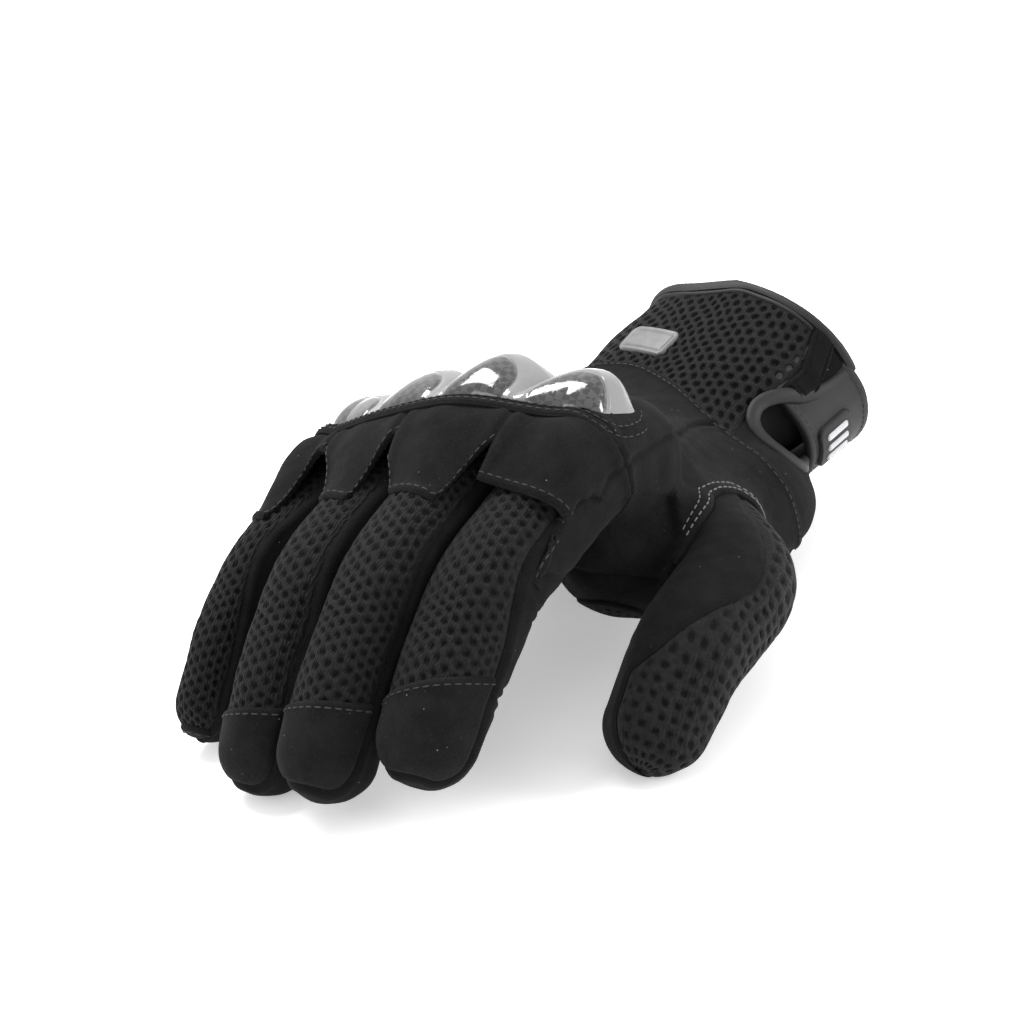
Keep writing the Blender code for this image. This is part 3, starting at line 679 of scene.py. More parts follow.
def shell(name, skin, wall, look, inner=None):
    """A closed sheet from a skin: lifted by its value "lift", with a wall below and rims round it."""
    if len(skin) < 4:
        return None
    lift = skin.values["lift"]
    outer = skin.points + skin.normals * lift[:, None]
    floor = np.minimum(lift, skin.values.get("floor", lift)) - wall
    under = skin.points + skin.normals * floor[:, None]
    f = skin.faces
    count = len(outer)
    sides = sides_of(f)
    key = np.sort(sides, axis=1)
    _, first, times = np.unique(key[:, 0] * count + key[:, 1], return_index=True, return_counts=True)
    rim = sides[first[times == 1]]
    a, b = rim[:, 0], rim[:, 1]
    rims = np.concatenate([np.stack([b, a, a + count], 1), np.stack([b, a + count, b + count], 1)])
    faces = np.concatenate([f, f[:, ::-1] + count, rims])
    looks = np.concatenate([np.zeros(len(f)), np.ones(len(f)), np.zeros(len(rims))])
    hole = skin.values.get("hole")
    hole = None if hole is None else np.concatenate([hole, np.zeros(count)])
    made = mesh_object(name, np.concatenate([outer, under]), faces, [look, inner or LINING], looks, hole)
    return made


def hem_lift(distance, height, fold=0.5, width=1.3):
    """The height of a folded edge: a soft ridge along it, rounded off at its very edge."""
    ridge = fold * np.exp(-((distance - 1.2) / width) ** 2)
    return height + ridge - 0.55 * (1 - ramp(0.0, 0.8, distance))


def seam_dip(distance, depth=0.7, width=0.8):
    return -depth * np.exp(-(distance / width) ** 2)


def contour(skin, value, level=0.0):
    """The longest lines along which a value has a level: lists of (points, normals)."""
    g = (skin.values[value] if isinstance(value, str) else value) - level
    lifted = skin.points + skin.normals * skin.values["lift"][:, None]
    links, at = {}, {}
    crossing = skin.faces[(g[skin.faces] > 0).any(axis=1) & (g[skin.faces] <= 0).any(axis=1)]
    for face in crossing:
        ends = []
        for a, b in zip(face, np.roll(face, -1)):
            if (g[a] > 0) != (g[b] > 0):
                key = (min(a, b), max(a, b))
                t = g[a] / (g[a] - g[b])
                at[key] = [table[a] * (1 - t) + table[b] * t for table in (lifted, skin.normals)]
                ends.append(key)
        if len(ends) == 2:
            links.setdefault(ends[0], []).append(ends[1])
            links.setdefault(ends[1], []).append(ends[0])
    lines = []
    free = set(links)
    starts = sorted(k for k in links if len(links[k]) == 1) + sorted(links)
    for start in starts:
        if start not in free:
            continue
        line = [start]
        free.discard(start)
        while True:
            onward = [k for k in links[line[-1]] if k in free]
            if not onward:
                break
            line.append(onward[0])
            free.discard(onward[0])
        if len(line) > 6:
            lines.append((np.array([at[k][0] for k in line]), unit(np.array([at[k][1] for k in line]))))
    return sorted(lines, key=lambda line: -len(line[0]))


def evenly(points, normals, step, smooth=2):
    """Points and normals of a line at an even step."""
    for _ in range(smooth):
        points = np.concatenate([points[:1], (points[:-2] + 2 * points[1:-1] + points[2:]) / 4, points[-1:]])
    run = np.r_[0, np.cumsum(np.linalg.norm(np.diff(points, axis=0), axis=1))]
    at = np.arange(step / 2, run[-1], step)
    both = [np.stack([np.interp(at, run, table[:, k]) for k in range(3)], 1) for table in (points, normals)]
    return both[0], unit(both[1])


STITCH_GAP = 0.8


def stitches(name, lines, look, pitch=2.5, radius=0.22, lift=0.0):
    """Rows of short threads lying along lines."""
    ring = 6
    length = pitch - STITCH_GAP
    all_points, all_faces = [], []
    template, faces = [], []
    for i, (x, r) in enumerate(((-0.5, 0.35), (-0.36, 0.85), (0.0, 1.0), (0.36, 0.85), (0.5, 0.35))):
        for j in range(ring):
            a = 2 * math.pi * j / ring
            template.append((x, r * math.cos(a), r * math.sin(a)))
    for i in range(4):
        for j in range(ring):
            k = (j + 1) % ring
            a, b, c, d = i * ring + j, i * ring + k, (i + 1) * ring + k, (i + 1) * ring + j
            faces += [(a, b, c), (a, c, d)]
    for end in (0, 4 * ring):
        for j in range(1, ring - 1):
            faces.append((end, end + j + 1, end + j) if end == 0 else (end, end + j, end + j + 1))
    template, faces = np.array(template), np.array(faces)
    for points, normals in lines:
        points, normals = evenly(points, normals, pitch)
        if len(points) < 2:
            continue
        way = unit(np.gradient(points, axis=0))
        side = unit(np.cross(normals, way))
        for p, n, w, c in zip(points, normals, way, side):
            body = p + n * lift + template[:, :1] * length * w + template[:, 1:2] * radius * c
            all_faces.append(faces + sum(len(q) for q in all_points))
            all_points.append(body + template[:, 2:] * radius * n)
    if not all_points:
        return None
    return mesh_object(name, np.concatenate(all_points), np.concatenate(all_faces), [look])


def rope(name, points, normals, radius, look, flat=1.0, sides=12, step=0.8):
    """A round or flattened cord along a line, with closed ends."""
    points, normals = evenly(points, normals, step, smooth=4)
    way = unit(np.gradient(points, axis=0))
    side = unit(np.cross(normals, way))
    up = np.cross(way, side)
    a = np.linspace(0, 2 * math.pi, sides, endpoint=False)
    rings = (points[:, None] + radius * np.cos(a)[None, :, None] * side[:, None]
             + radius * flat * np.sin(a)[None, :, None] * up[:, None]).reshape(-1, 3)
    faces = []
    for i in range(len(points) - 1):
        for j in range(sides):
            a, b = i * sides + j, i * sides + (j + 1) % sides
            faces += [(a, b, b + sides), (a, b + sides, a + sides)]
    last = (len(points) - 1) * sides
    for j in range(1, sides - 1):
        faces.append((0, j + 1, j))
        faces.append((last, last + j, last + j + 1))
    return mesh_object(name, rings, np.array(faces)[:, ::-1], [look])


# --- Materials ------------------------------------------------------------------------------------


class Look:
    """A material being built: nodes are added by type, and joined by their sockets."""

    def __init__(self, name, colour, rough, **settings):
        self.made = bpy.data.materials.new(name)
        self.made.use_nodes = True
        self.tree = self.made.node_tree
        self.shader = self.tree.nodes["Principled BSDF"]
        self.shader.inputs["Base Color"].default_value = (*colour, 1)
        self.shader.inputs["Roughness"].default_value = rough
        for key, value in settings.items():
            self.shader.inputs[key.replace("_", " ")].default_value = value
        self.colour = self.shader.inputs["Base Color"]
        place = self.add("ShaderNodeTexCoord")
        self.place = place.outputs["Object"]

    def add(self, kind, **inputs):
        node = self.tree.nodes.new(kind)
        for key, value in inputs.items():
            socket = node.inputs[key.replace("_", " ")]
            if hasattr(value, "is_output"):
                self.tree.links.new(value, socket)
            else:
                socket.default_value = value
        return node

    def noise(self, scale, detail=3.0, roughness=0.6):
        return self.add("ShaderNodeTexNoise", Vector=self.place, Scale=scale, Detail=detail,
                        Roughness=roughness).outputs["Fac"]

    def span(self, value, low, high, to_low=0.0, to_high=1.0):
        node = self.add("ShaderNodeMapRange", Value=value)
        for key, number in (("From Min", low), ("From Max", high), ("To Min", to_low), ("To Max", to_high)):
            node.inputs[key].default_value = number
        return node.outputs["Result"]

    def tint(self, share, colour):
        """Mixes a colour, or a socket's colour, over what is there by a share."""
        node = self.tree.nodes.new("ShaderNodeMix")
        node.data_type = "RGBA"
        self.tree.links.new(share, node.inputs["Factor"])
        if self.colour.is_linked:
            self.tree.links.new(self.colour.links[0].from_socket, node.inputs[6])
        else:
            node.inputs[6].default_value = self.colour.default_value
        if hasattr(colour, "is_output"):
            self.tree.links.new(colour, node.inputs[7])
        else:
            node.inputs[7].default_value = (*colour, 1)
        self.tree.links.new(node.outputs[2], self.colour)

    def stored(self, name):
        """A value stored at the mesh's points."""
        node = self.add("ShaderNodeAttribute")
        node.attribute_name = name
        return node.outputs["Fac"]

    def bump(self, height, strength, distance):
        node = self.add("ShaderNodeBump", Height=height, Strength=strength, Distance=distance)
        before = self.shader.inputs["Normal"]
        if before.is_linked:
            self.tree.links.new(before.links[0].from_socket, node.inputs["Normal"])
        self.tree.links.new(node.outputs["Normal"], before)


def suede_look(name, dark, light):
    """Brushed suede: cloudy, grainy, and with a little pale lint."""
    look = Look(name, dark, 0.92, Sheen_Weight=0.02, Sheen_Roughness=0.5, Specular_IOR_Level=0.07)
    look.tint(look.span(look.noise(160, 4), 0.35, 0.7), light)
    look.tint(look.span(look.noise(1900, 2), 0.55, 0.8, 0.0, 0.6), tuple(2.2 * c for c in light))
    dots = look.add("ShaderNodeTexVoronoi", Vector=look.place, Scale=420.0)
    dots = look.span(dots.outputs["Distance"], 0.10, 0.06)
    few = look.span(look.noise(95, 2), 0.56, 0.62)
    both = look.add("ShaderNodeMath")
    both.operation = "MULTIPLY"
    look.tree.links.new(dots, both.inputs[0])
    look.tree.links.new(few, both.inputs[1])
    look.tint(both.outputs[0], (0.12, 0.12, 0.12))
    look.bump(look.noise(2600, 3), 0.5, 0.0003)
    look.bump(look.noise(420, 3), 0.35, 0.0006)
    return look.made


def mesh_look(name, yarn, deep):
    """Knitted yarn, with painted shade darkening its colour down in its holes."""
    look = Look(name, yarn, 0.75, Sheen_Weight=0.015, Sheen_Roughness=0.5, Specular_IOR_Level=0.12)
    look.tint(look.span(look.noise(700, 3), 0.42, 0.72), tuple(2.2 * c for c in yarn))
    # Painted shade: the colour deep darkens the yarn at the bottoms of the holes, by the stored hole depth.
    look.tint(look.stored("hole"), deep)
    wave = look.add("ShaderNodeTexWave", Vector=look.place, Scale=420.0, Distortion=5.0)
    look.bump(wave.outputs["Fac"], 0.45, 0.0004)
    look.bump(look.noise(3200, 2), 0.4, 0.0003)
    return look.made


def plain_look(name, colour, rough, grain=1200, depth=0.0002, strength=0.3, **settings):
    look = Look(name, colour, rough, **settings)
    look.tint(look.span(look.noise(grain / 6, 3), 0.4, 0.75, 0.0, 0.5), tuple(1.7 * c for c in colour))
    look.bump(look.noise(grain, 3), strength, depth)
    return look.made


def shell_look():
    """A dark woven shell painted pale grey: the pale colour is a painted reflection, left out in an oval at
    the front of each dome where the dark weave shows.
    """
    # The pale grey base colour is a painted reflection of bright surroundings on a dark glossy shell.
    look = Look("guard_shell", (0.17, 0.17, 0.173), 0.14, Coat_Weight=1.0, Coat_Roughness=0.03,
                Specular_IOR_Level=0.6)
    weave = look.add("ShaderNodeTexChecker", Vector=look.place, Scale=520.0, Color1=(0.006, 0.006, 0.006, 1),
                     Color2=(0.035, 0.035, 0.036, 1))
    # The shell's dark weave shows only inside the ovals; round them the painted reflection stays.
    look.tint(look.stored("hole"), weave.outputs["Color"])
    look.bump(look.span(look.noise(260, 2), 0.3, 0.7), 0.25, 0.0005)
    return look.made


def loop_look():
    look = Look("loop_pile", (0.009, 0.009, 0.009), 0.95, Sheen_Weight=0.06)
    cells = look.add("ShaderNodeTexVoronoi", Vector=look.place, Scale=1500.0)
    look.tint(look.span(cells.outputs["Distance"], 0.2, 0.7), (0.04, 0.04, 0.041))
    look.bump(cells.outputs["Distance"], 0.7, 0.0006)
    return look.made


SUEDE = suede_look("suede_back", (0.0052, 0.0052, 0.0054), (0.0088, 0.0088, 0.0090))
LEATHER = suede_look("palm_suede", (0.0034, 0.0034, 0.0036), (0.0058, 0.0058, 0.006))
# The air mesh's yarn colour, and the painted shade colour for the bottoms of its holes.
AIR_MESH = mesh_look("air_mesh_knit", (0.0050, 0.0050, 0.0052), (0.0009, 0.0009, 0.0009))
LINING = plain_look("soft_lining", (0.007, 0.007, 0.0072), 0.9, grain=900, depth=0.0003,
                    Specular_IOR_Level=0.15)
BINDING = plain_look("edge_binding", (0.008, 0.008, 0.0084), 0.6, grain=2200, depth=0.00015,
                     Specular_IOR_Level=0.3)
RUBBER = plain_look("grey_rubber", (0.11, 0.11, 0.112), 0.5, grain=1500, depth=0.0001)
THREAD = plain_look("dark_thread", (0.0075, 0.0075, 0.0075), 0.7, grain=4000, depth=0.0001)
PALE_THREAD = plain_look("pale_thread", (0.085, 0.085, 0.085), 0.65, grain=4000, depth=0.0001)
PILE = loop_look()
SHELL = shell_look()
BADGE = plain_look("badge_face", (0.36, 0.36, 0.37), 0.25, grain=900, depth=0.00005)
FOAM = plain_look("foam_core", (0.03, 0.03, 0.03), 0.95, grain=1600, depth=0.0004)

# --- Digits: air mesh backs, suede caps and the wrap of suede round the rest -----------------------------

# The angle of each finger's thumb-side edge of mesh, at the root and at the cap.
STRIP_EDGE = {"index": (65, 102), "middle": (64, 82), "ring": (35, 56), "little": (34, 68)}
OUTER_EDGE = {"index": -60, "middle": -62, "ring": -62, "little": -78}
# Where each cap starts on top of the finger, and how far that moves with each degree of angle.
CAP_EDGE = {"index": (75, -0.08), "middle": (85, -0.04), "ring": (85, -0.04), "little": (88, -0.01)}
STRIP_END = {"index": 97.0, "middle": 105.5, "ring": 105.0, "little": 93.0}
# How far the back's suede reaches over each finger, and the two angles between which it does.
TAB_EDGE = {"little": (34, -62, 15), "ring": (32, -48, 20), "middle": (32, -45, 42), "index": (25, -60, 150)}
TAB_ROOT = 12.0
# The suede on the thumb side of the index finger reaches further.
INDEX_SIDE = (42, 74, 145)
# Pitches of the knitted holes, the grids' step, and about how long a degree is round a digit.
FINGER_PITCH = 3.1
CUFF_PITCH = 4.0
THUMB_PITCH = 3.7
GRID_STEP = 0.55
STRIP_ROUND = 7.0
DIGIT_DEGREE = 0.2
DIGIT_WALL = 1.1
FABRIC_RIPPLE = 0.16


def ripple(points):
    """Soft unevenness of sewn cloth."""
    x, y, z = points.T
    wave = np.sin(0.31 * x + 0.13 * y + 1.1) * np.sin(0.27 * y - 0.21 * z)
    wave = wave + np.sin(0.23 * z + 0.37 * x - 0.2 * y)
    return FABRIC_RIPPLE * (wave + 0.5 * np.sin(0.62 * y + 0.41 * z) * np.sin(0.55 * x + 2))


def puckers(s, phi, places):
    """Shallow folds across the pad side at each joint of a digit."""
    total = np.zeros(s.shape)
    for place in places:
        pad = ramp(80.0, 150.0, np.abs(phi))
        for offset, depth in ((-3.2, 0.5), (0.4, 0.9), (4.0, 0.5)):
            total -= depth * pad * np.exp(-((s - place - offset) / 1.1) ** 2)
    return total


def rides(made, digit, number):
    """Bakes a digit's piece into place, for its joint: piece 0 at the knuckle, 1 at the middle and 2 at the
    end joint. The joint's place and frame are read, but the piece is not bent about it.
    """
    place = digit.joints[number]
    centre, tangent, _up, _side = digit.frame_at(np.array(place))
    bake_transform(made)


def digit_parts(digit):
    """Where a digit's panels are cut between its three pieces, one for each joint."""
    a, b, c = digit.joints[:3]
    first, second = a * 0.45 + b * 0.55, b * 0.5 + c * 0.5
    return (-40.0, first), (first, second), (second, 400.0)


def put_on(name, digit, skin, look):
    """Cuts a digit's panel into its three pieces, one for each joint, and makes a shell of each, baked into
    place.
    """
    for number, (low, high) in enumerate(digit_parts(digit)):
        part = skin
        if (skin.values["s"] < low).any():
            part = part.clip(part.values["s"] - low)
        if len(part) and (part.values["s"] > high).any():
            part = part.clip(high - part.values["s"])
        if len(part) < 4:
            continue
        rides(shell(f"{name}_{number + 1}", part, DIGIT_WALL, look, LINING), digit, number)


def thread_on(name, digit, lines, look, bodies, **shape):
    """Stitches along lines of a digit, cut into its three pieces."""
    for number, (low, high) in enumerate(digit_parts(digit)):
        parts = []
        for points, normals in lines:
            if len(points) < 8:
                continue
            s = digit.locate(points)[1]
            keep = (s > low) & (s < high)
            if keep.sum() > 6:
                parts.append((points[keep], normals[keep]))
        made = stitches(f"{name}_{number + 1}", parts, look, **shape) if parts else None
        if made:
            rides(made, digit, number)


def tab_limit(reach, first, last, angle):
    """How far a tab of suede reaches along a digit, at each angle round it."""
    wide = ramp(first - 14, first + 14, angle) * ramp(last + 7, last - 7, angle)
    return TAB_ROOT + (reach - TAB_ROOT) * wide


def make_finger_pieces(name):
    digit = FINGERS[name]
    bodies = ("hand", f"{name}_proximal", f"{name}_middle", f"{name}_tip")
    tip = digit.s[-1] + digit.tip * math.pi / 2
    whole = tube_skin(digit, 4.0, tip, -180.0, 180.0, GRID_STEP)
    s, phi = whole.values["s"], whole.values["phi"]
    root, end = STRIP_EDGE[name]
    edge = root + (end - root) * ramp(35, 70, s)
    strip = np.minimum(edge - phi, phi - OUTER_EDGE[name]) * DIGIT_DEGREE
    strip = union(strip, STRIP_END[name] - s, STRIP_ROUND)
    start, slant = CAP_EDGE[name]
    base = ripple(whole.points)
    whole.values.update(strip=strip, cap=s - start - slant * phi, base=base, lift=base)
    # The air mesh of the back, knitted with holes.
    net = whole.clip(whole.values["strip"] + 0.3)
    net = net.clip(2.5 - net.values["cap"])
    v = net.values
    hole = knit(v["s"], v["t"], FINGER_PITCH, 1.15) * ramp(0.6, 2.4, v["strip"])
    v["hole"] = hole
    v["lift"] = v["base"] - 0.75 * hole + seam_dip(v["strip"], 0.45, 0.7) + 0.2
    put_on(f"{name}_air_mesh", digit, net, AIR_MESH)
    # The cap over the nail, its folded edge lying on the mesh.
    cap = whole.clip("strip")
    cap = cap.clip("cap")
    v = cap.values
    v["lift"] = v["base"] + hem_lift(v["cap"], 0.75, 0.35) + seam_dip(v["strip"], 0.55, 0.6)
    put_on(f"{name}_cap", digit, cap, SUEDE)
    lines = contour(cap, v["cap"], 1.7)[:1]
    thread_on(f"{name}_cap_thread", digit, lines, THREAD, bodies, pitch=2.6, lift=0.05)
    # The wrap: sides between the fingers, pad and fingertip.
    wrap = whole.clip(-whole.values["strip"])
    v = wrap.values
    v["lift"] = v["base"] + 0.6 + seam_dip(v["strip"], 0.6, 0.6)
    v["lift"] = v["lift"] + puckers(v["s"], v["phi"], digit.joints[1:3])
    v["lift"] = v["lift"] + 0.35 * np.exp(-((v["strip"] + 2.2) / 1.2) ** 2)
    put_on(f"{name}_wrap", digit, wrap, LEATHER)


# Edge of the thumb's air mesh on the side towards the fingers: places and angles.
THUMB_EDGE = ((10, 45, 60, 75, 92), (25, 0, 10, -10, -70))
THUMB_OUTER_EDGE = 128.0


def make_thumb_pieces():
    digit = THUMB
    tip = digit.s[-1] + digit.tip * math.pi / 2
    whole = tube_skin(digit, 8.0, tip, -180.0, 180.0, GRID_STEP)
    s, phi = whole.values["s"], whole.values["phi"]
    edge = curve_through(*THUMB_EDGE, s)
    strip = np.minimum(phi - edge, THUMB_OUTER_EDGE - phi) * DIGIT_DEGREE
    base = ripple(whole.points)
    whole.values.update(strip=strip, base=base, lift=base)
    net = whole.clip("strip")
    v = net.values
    hole = knit(v["s"], v["t"], THUMB_PITCH, 1.2, square=True) * ramp(0.5, 2.0, v["strip"])
    v["hole"] = hole
    v["lift"] = v["base"] - 0.7 * hole + seam_dip(v["strip"], 0.6, 0.8)
    put_on("thumb_air_mesh", digit, net, AIR_MESH)
    wrap = whole.clip(-whole.values["strip"])
    v = wrap.values
    v["lift"] = v["base"] + 0.3 + seam_dip(v["strip"], 0.6, 0.8)
    v["lift"] = v["lift"] + puckers(v["s"], v["phi"], digit.joints[1:3])
    put_on("thumb_wrap", digit, wrap, LEATHER)


# --- Hand and cuff ----------------------------------------------------------------------------------

SKIN_STEP = 1.2
SKIN_LOW = (-75.0, -150.0, -65.0)
SKIN_HIGH = (75.0, 75.0, 65.0)
# About how long a degree is round the cuff, and how high and thick the layers are.
DEGREE = 0.61
HAND_LIFT = 0.9
HAND_WALL = 1.3
CUFF_WALL = 1.4
# Seam lines on the hand: across, forward and up.
SIDE_SEAM = (
    (47, 104, -10), (50, 78, 6), (46, 55, 12), (36, 32, 14), (30, 17, 15), (34, 5, 15), (38, -13, 9),
)
# The back panel's rear edge is humped over the wrist: place along the cuff, rise, its angle and width.
REAR_EDGE = (9, 10, 105, 65)
# The piping runs straight, and steps forward on the far side: place, step and the angles of the step.
PIPING = (58, 6, 75, 125)
# The suede flap that runs back beside the opening: its edge's angle, where it turns, its slope and width.
FLAP = (23, 45, 0.8, 13)
# The cuff's opening: place along the cuff and angle.
OPENING = ((70, 8), (45, 6), (30, 25), (20, 20), (20, 2), (32, -16), (46, -27), (70, -34))
MESH_SIDE = 166.0
HEM_WIDTH = 4.4
PALM_DROP = 11.0
# Where the hand's suede ends round the thumb: angles and places.
THUMB_COLLAR = ((-180, -110, -50, -16, 12, 60, 110, 180), (24, 30, 33, 24, 19, 18, 19, 24))
THUMB_SIDE_DROP = 13.0
# Where the skin of the hand is cut off along the fingers and the thumb.
FINGER_CUT = 47.0
THUMB_CUT = 30.0


def cuff_skin_point(along, angle, lift=0.0):
    """A point of the cuff's surface in the hand's frame, and its outward direction."""
    along, angle, lift = np.broadcast_arrays(*(np.asarray(v, float) for v in (along, angle, lift)))
    a = np.radians(angle)

    def at(u, a):
        c, s = np.cos(a), np.sin(a)
        wide, high, power = cuff_section(u, c)
        r = (np.abs(c / wide) ** power + np.abs(s / high) ** power) ** (-1 / power)
        x1, y1, z1 = r * c, u, r * s
        c, s = math.cos(CUFF_DRIFT), math.sin(CUFF_DRIFT)
        x, y = x1 * c + y1 * s, -x1 * s + y1 * c
        c, s = math.cos(CUFF_BEND), math.sin(CUFF_BEND)
        return np.stack([x, y * c - z1 * s, y * s + z1 * c], axis=-1)

    here = at(along, a)
    way_round = at(along, a + 0.01) - at(along, a - 0.01)
    normal = unit(np.cross(way_round, at(along + 0.2, a) - at(along - 0.2, a)))
    centre = at(along, a) - at(along, a + math.pi)
    normal = np.where((normal * centre).sum(-1, keepdims=True) < 0, -normal, normal)
    return here + normal * lift[..., None], normal


def cuff_grid(along, angle, step=0.5):
    """An even patch of the cuff's surface between two places and two angles."""
    rows = int(abs(along[1] - along[0]) / step) + 2
    columns = int(abs(angle[1] - angle[0]) * DEGREE / step) + 2
    u, a = np.meshgrid(np.linspace(*along, rows), np.linspace(*angle, columns), indexing="ij")
    points, normals = cuff_skin_point(u, a)
    return grid_skin(points, normals, {"along": u, "angle": a})


def drape_line(corners, field):
    """A smooth line through corners, laid on a surface."""
    corners = np.asarray(corners, float) * (1, -1, 1)
    run = np.r_[0, np.cumsum(np.linalg.norm(np.diff(corners, axis=0), axis=1))]
    at = np.arange(0, run[-1], 0.7)
    line = np.stack([curve_through(run, corners[:, k], at) for k in range(3)], axis=1)
    for _ in range(4):
        d, normals = field_slope(field, line)
        line = line - np.clip(d, -4, 4)[:, None] * normals
    for _ in range(6):
        line[1:-1] = (line[:-2] + 2 * line[1:-1] + line[2:]) / 4
    return line


def line_distance(points, line, reach=12.0):
    """Distance from points to a line, capped at a reach."""
    best = np.full(len(points), reach)
    tree = kdtree.KDTree(len(line))
    for i, p in enumerate(line):
        tree.insert(p, i)
    tree.balance()
    low, high = line.min(axis=0) - reach, line.max(axis=0) + reach
    near = np.nonzero(((points > low) & (points < high)).all(axis=1))[0]
    for i in near:
        best[i] = min(reach, tree.find(points[i])[2])
    return best


def place_values(skin):
    """Names each point's place on the hand, the cuff and the digits."""
    p = skin.points
    along, across, up = cuff_place(p)
    angle = np.degrees(np.arctan2(up, across))
    v = skin.values
    v["along"], v["angle"] = along, angle
    v["turn"] = np.where(angle < -120, angle + 360, angle)
    x, f, z = p[:, 0], -p[:, 1], p[:, 2]
    arch = curve_through(HAND_SECTIONS[:, 0], HAND_SECTIONS[:, 5], f)
    drop = 5.0 + PALM_DROP * ramp(10.0, 60.0, f) + THUMB_SIDE_DROP * ramp(-5.0, 25.0, x)
    v["palm"] = knuckle_up(x) * arch - drop - z
    away, roots = [], []
    for digit in FINGERS.values():
        d, s, phi = digit.locate(p)
        away.append(d)
        roots.append((s, np.degrees(phi)))
    away = np.array(away)
    for k, name in enumerate(FINGERS):
        others = np.delete(away, k, axis=0).min(axis=0)
        s, phi = roots[k]
        v[name] = np.minimum((others - away[k]) / 2, s - 1.0)
        web = 1.0 + 9.0 * ramp(105.0, 75.0, np.abs(phi))
        limit = tab_limit(*TAB_EDGE[name], phi)
        if name == "index":
            limit = np.maximum(limit, tab_limit(*INDEX_SIDE, phi))
        v[f"{name}_tab"] = np.maximum(limit - s, (away[k] - web) * 3.0)
        v[f"{name}_phi"] = phi
    d, s, phi = THUMB.locate(p)
    v["thumb_s"], v["thumb_phi"], v["thumb_away"] = s, np.degrees(phi), d


def make_hand_skin():
    """The whole skin of the hand and cuff, with the digits cut off and its seams' distances named."""
    skin = skin_from_field(skin_distance, SKIN_LOW, SKIN_HIGH, SKIN_STEP)
    along = cuff_place(skin.points)[0]
    skin = skin.clip(CUFF_END - along)
    found = [digit.locate(skin.points) for digit in FINGERS.values()]
    nearest = np.argmin([d for d, _s, _phi in found], axis=0)
    s = np.choose(nearest, [s for _d, s, _phi in found])
    skin = skin.clip(FINGER_CUT - s)
    away, thumb_s, _phi = THUMB.locate(skin.points)
    skin = skin.clip(np.maximum(THUMB_CUT - thumb_s, away - 0.4))
    skin = skin.refined()
    place_values(skin)
    name_seams(skin)
    skin = skin.clip(skin.values["piping"] + HEM_WIDTH)
    body = skin.clip("opening")
    return body.clip("collar")


def name_seams(skin):
    """Names each point's distance from the seams of the hand and cuff."""
    v = skin.values
    v["side"] = line_distance(skin.points, drape_line(SIDE_SEAM, skin_distance))
    place, rise, middle, width = REAR_EDGE
    v["rear"] = place + rise * np.exp(-((v["turn"] - middle) / width) ** 2) - v["along"]
    place, step, first, last = PIPING
    v["piping"] = place - step * ramp(first, last, v["turn"]) - v["along"]
    outline = rounded([(u, a * DEGREE) for u, a in OPENING])
    v["opening"] = -outline_distance(outline, v["along"], v["angle"] * DEGREE)
    angle, place, slope, width = FLAP
    edge = angle + slope * np.maximum(v["along"] - place, 0)
    v["left"] = (v["turn"] - edge) * DEGREE
    v["right"] = (v["turn"] - edge + width) * DEGREE
    v["base"] = ripple(skin.points)
    limit = np.interp(v["thumb_phi"], *THUMB_COLLAR)
    v["collar"] = np.maximum(limit - v["thumb_s"], v["thumb_away"] * 3.0 - 2.4)


def make_suede(body):
    """The suede of the hand, up to the finger tabs and back to the raised rear edge."""
    v = body.values
    tab = np.full(len(body.points), -99.0)
    for name in FINGERS:
        tab = np.maximum(tab, np.minimum(v[name], v[f"{name}_tab"]))
    main = -np.max([v[name] for name in FINGERS], axis=0)
    v["front"] = np.maximum(main, tab)
    on_index = np.minimum(v["index"], v["index_phi"] - 68.0)
    v["quiet"] = ramp(0.0, 6.0, on_index)
    v["lift"] = suede_lift(v)
    hand = body.clip("rear")
    upper, palm = hand.clip(-hand.values["palm"]), hand.clip("palm")
    for part, kind, look, slot in ((upper, "back", SUEDE, "suede"), (palm, "palm", LEATHER, "palm_leather")):
        main = -np.max([part.values[name] for name in FINGERS], axis=0)
        wrist_blend(shell(f"{kind}_suede", part.clip(main), HAND_WALL, look, LINING))
        for name in FINGERS:
            root = part.clip(name)
            root = root.clip(f"{name}_tab")
            piece = shell(f"{name}_root_{kind}", root, HAND_WALL, look, LINING)
            if piece:
                rides(piece, FINGERS[name], 0)
    return hand, upper


def make_cuff_mesh(cuff):
    """The air mesh over the back of the wrist."""
    net = cuff.clip("over").refined()
    v = net.values
    edge = np.minimum(v["over"], v["piping"])
    v["hole"] = knit(v["along"], v["turn"] * DEGREE * 1.02, CUFF_PITCH, 1.5) * ramp(0.8, 2.6, edge)
    v["lift"] = v["base"] - 0.85 * v["hole"] + seam_dip(v["over"], 0.5, 0.8)
    v["lift"] = v["lift"] + seam_dip(v["piping"], 0.4, 0.8)
    wrist_blend(shell("cuff_air_mesh", net, CUFF_WALL, AIR_MESH, LINING))
    return net


def make_cuff_side(cuff):
    """The suede round the rest of the wrist, with a raised strip beside the opening."""
    under = cuff.clip(-cuff.values["over"])
    v = under.values
    strip = np.minimum(np.minimum(-v["left"], v["right"]), v["along"] - 38)
    v["lift"] = v["base"] + 0.2 + 1.3 * ramp(0.0, 0.9, strip) - 0.5 * np.exp(-((strip - 1.5) / 0.45) ** 2)
    v["lift"] = v["lift"] + seam_dip(v["over"], 0.5, 0.8) + 0.35 * np.exp(-((v["opening"] - 1) / 1.5) ** 2)
    wrist_blend(shell("cuff_side", under, CUFF_WALL, LEATHER, LINING))
    return under


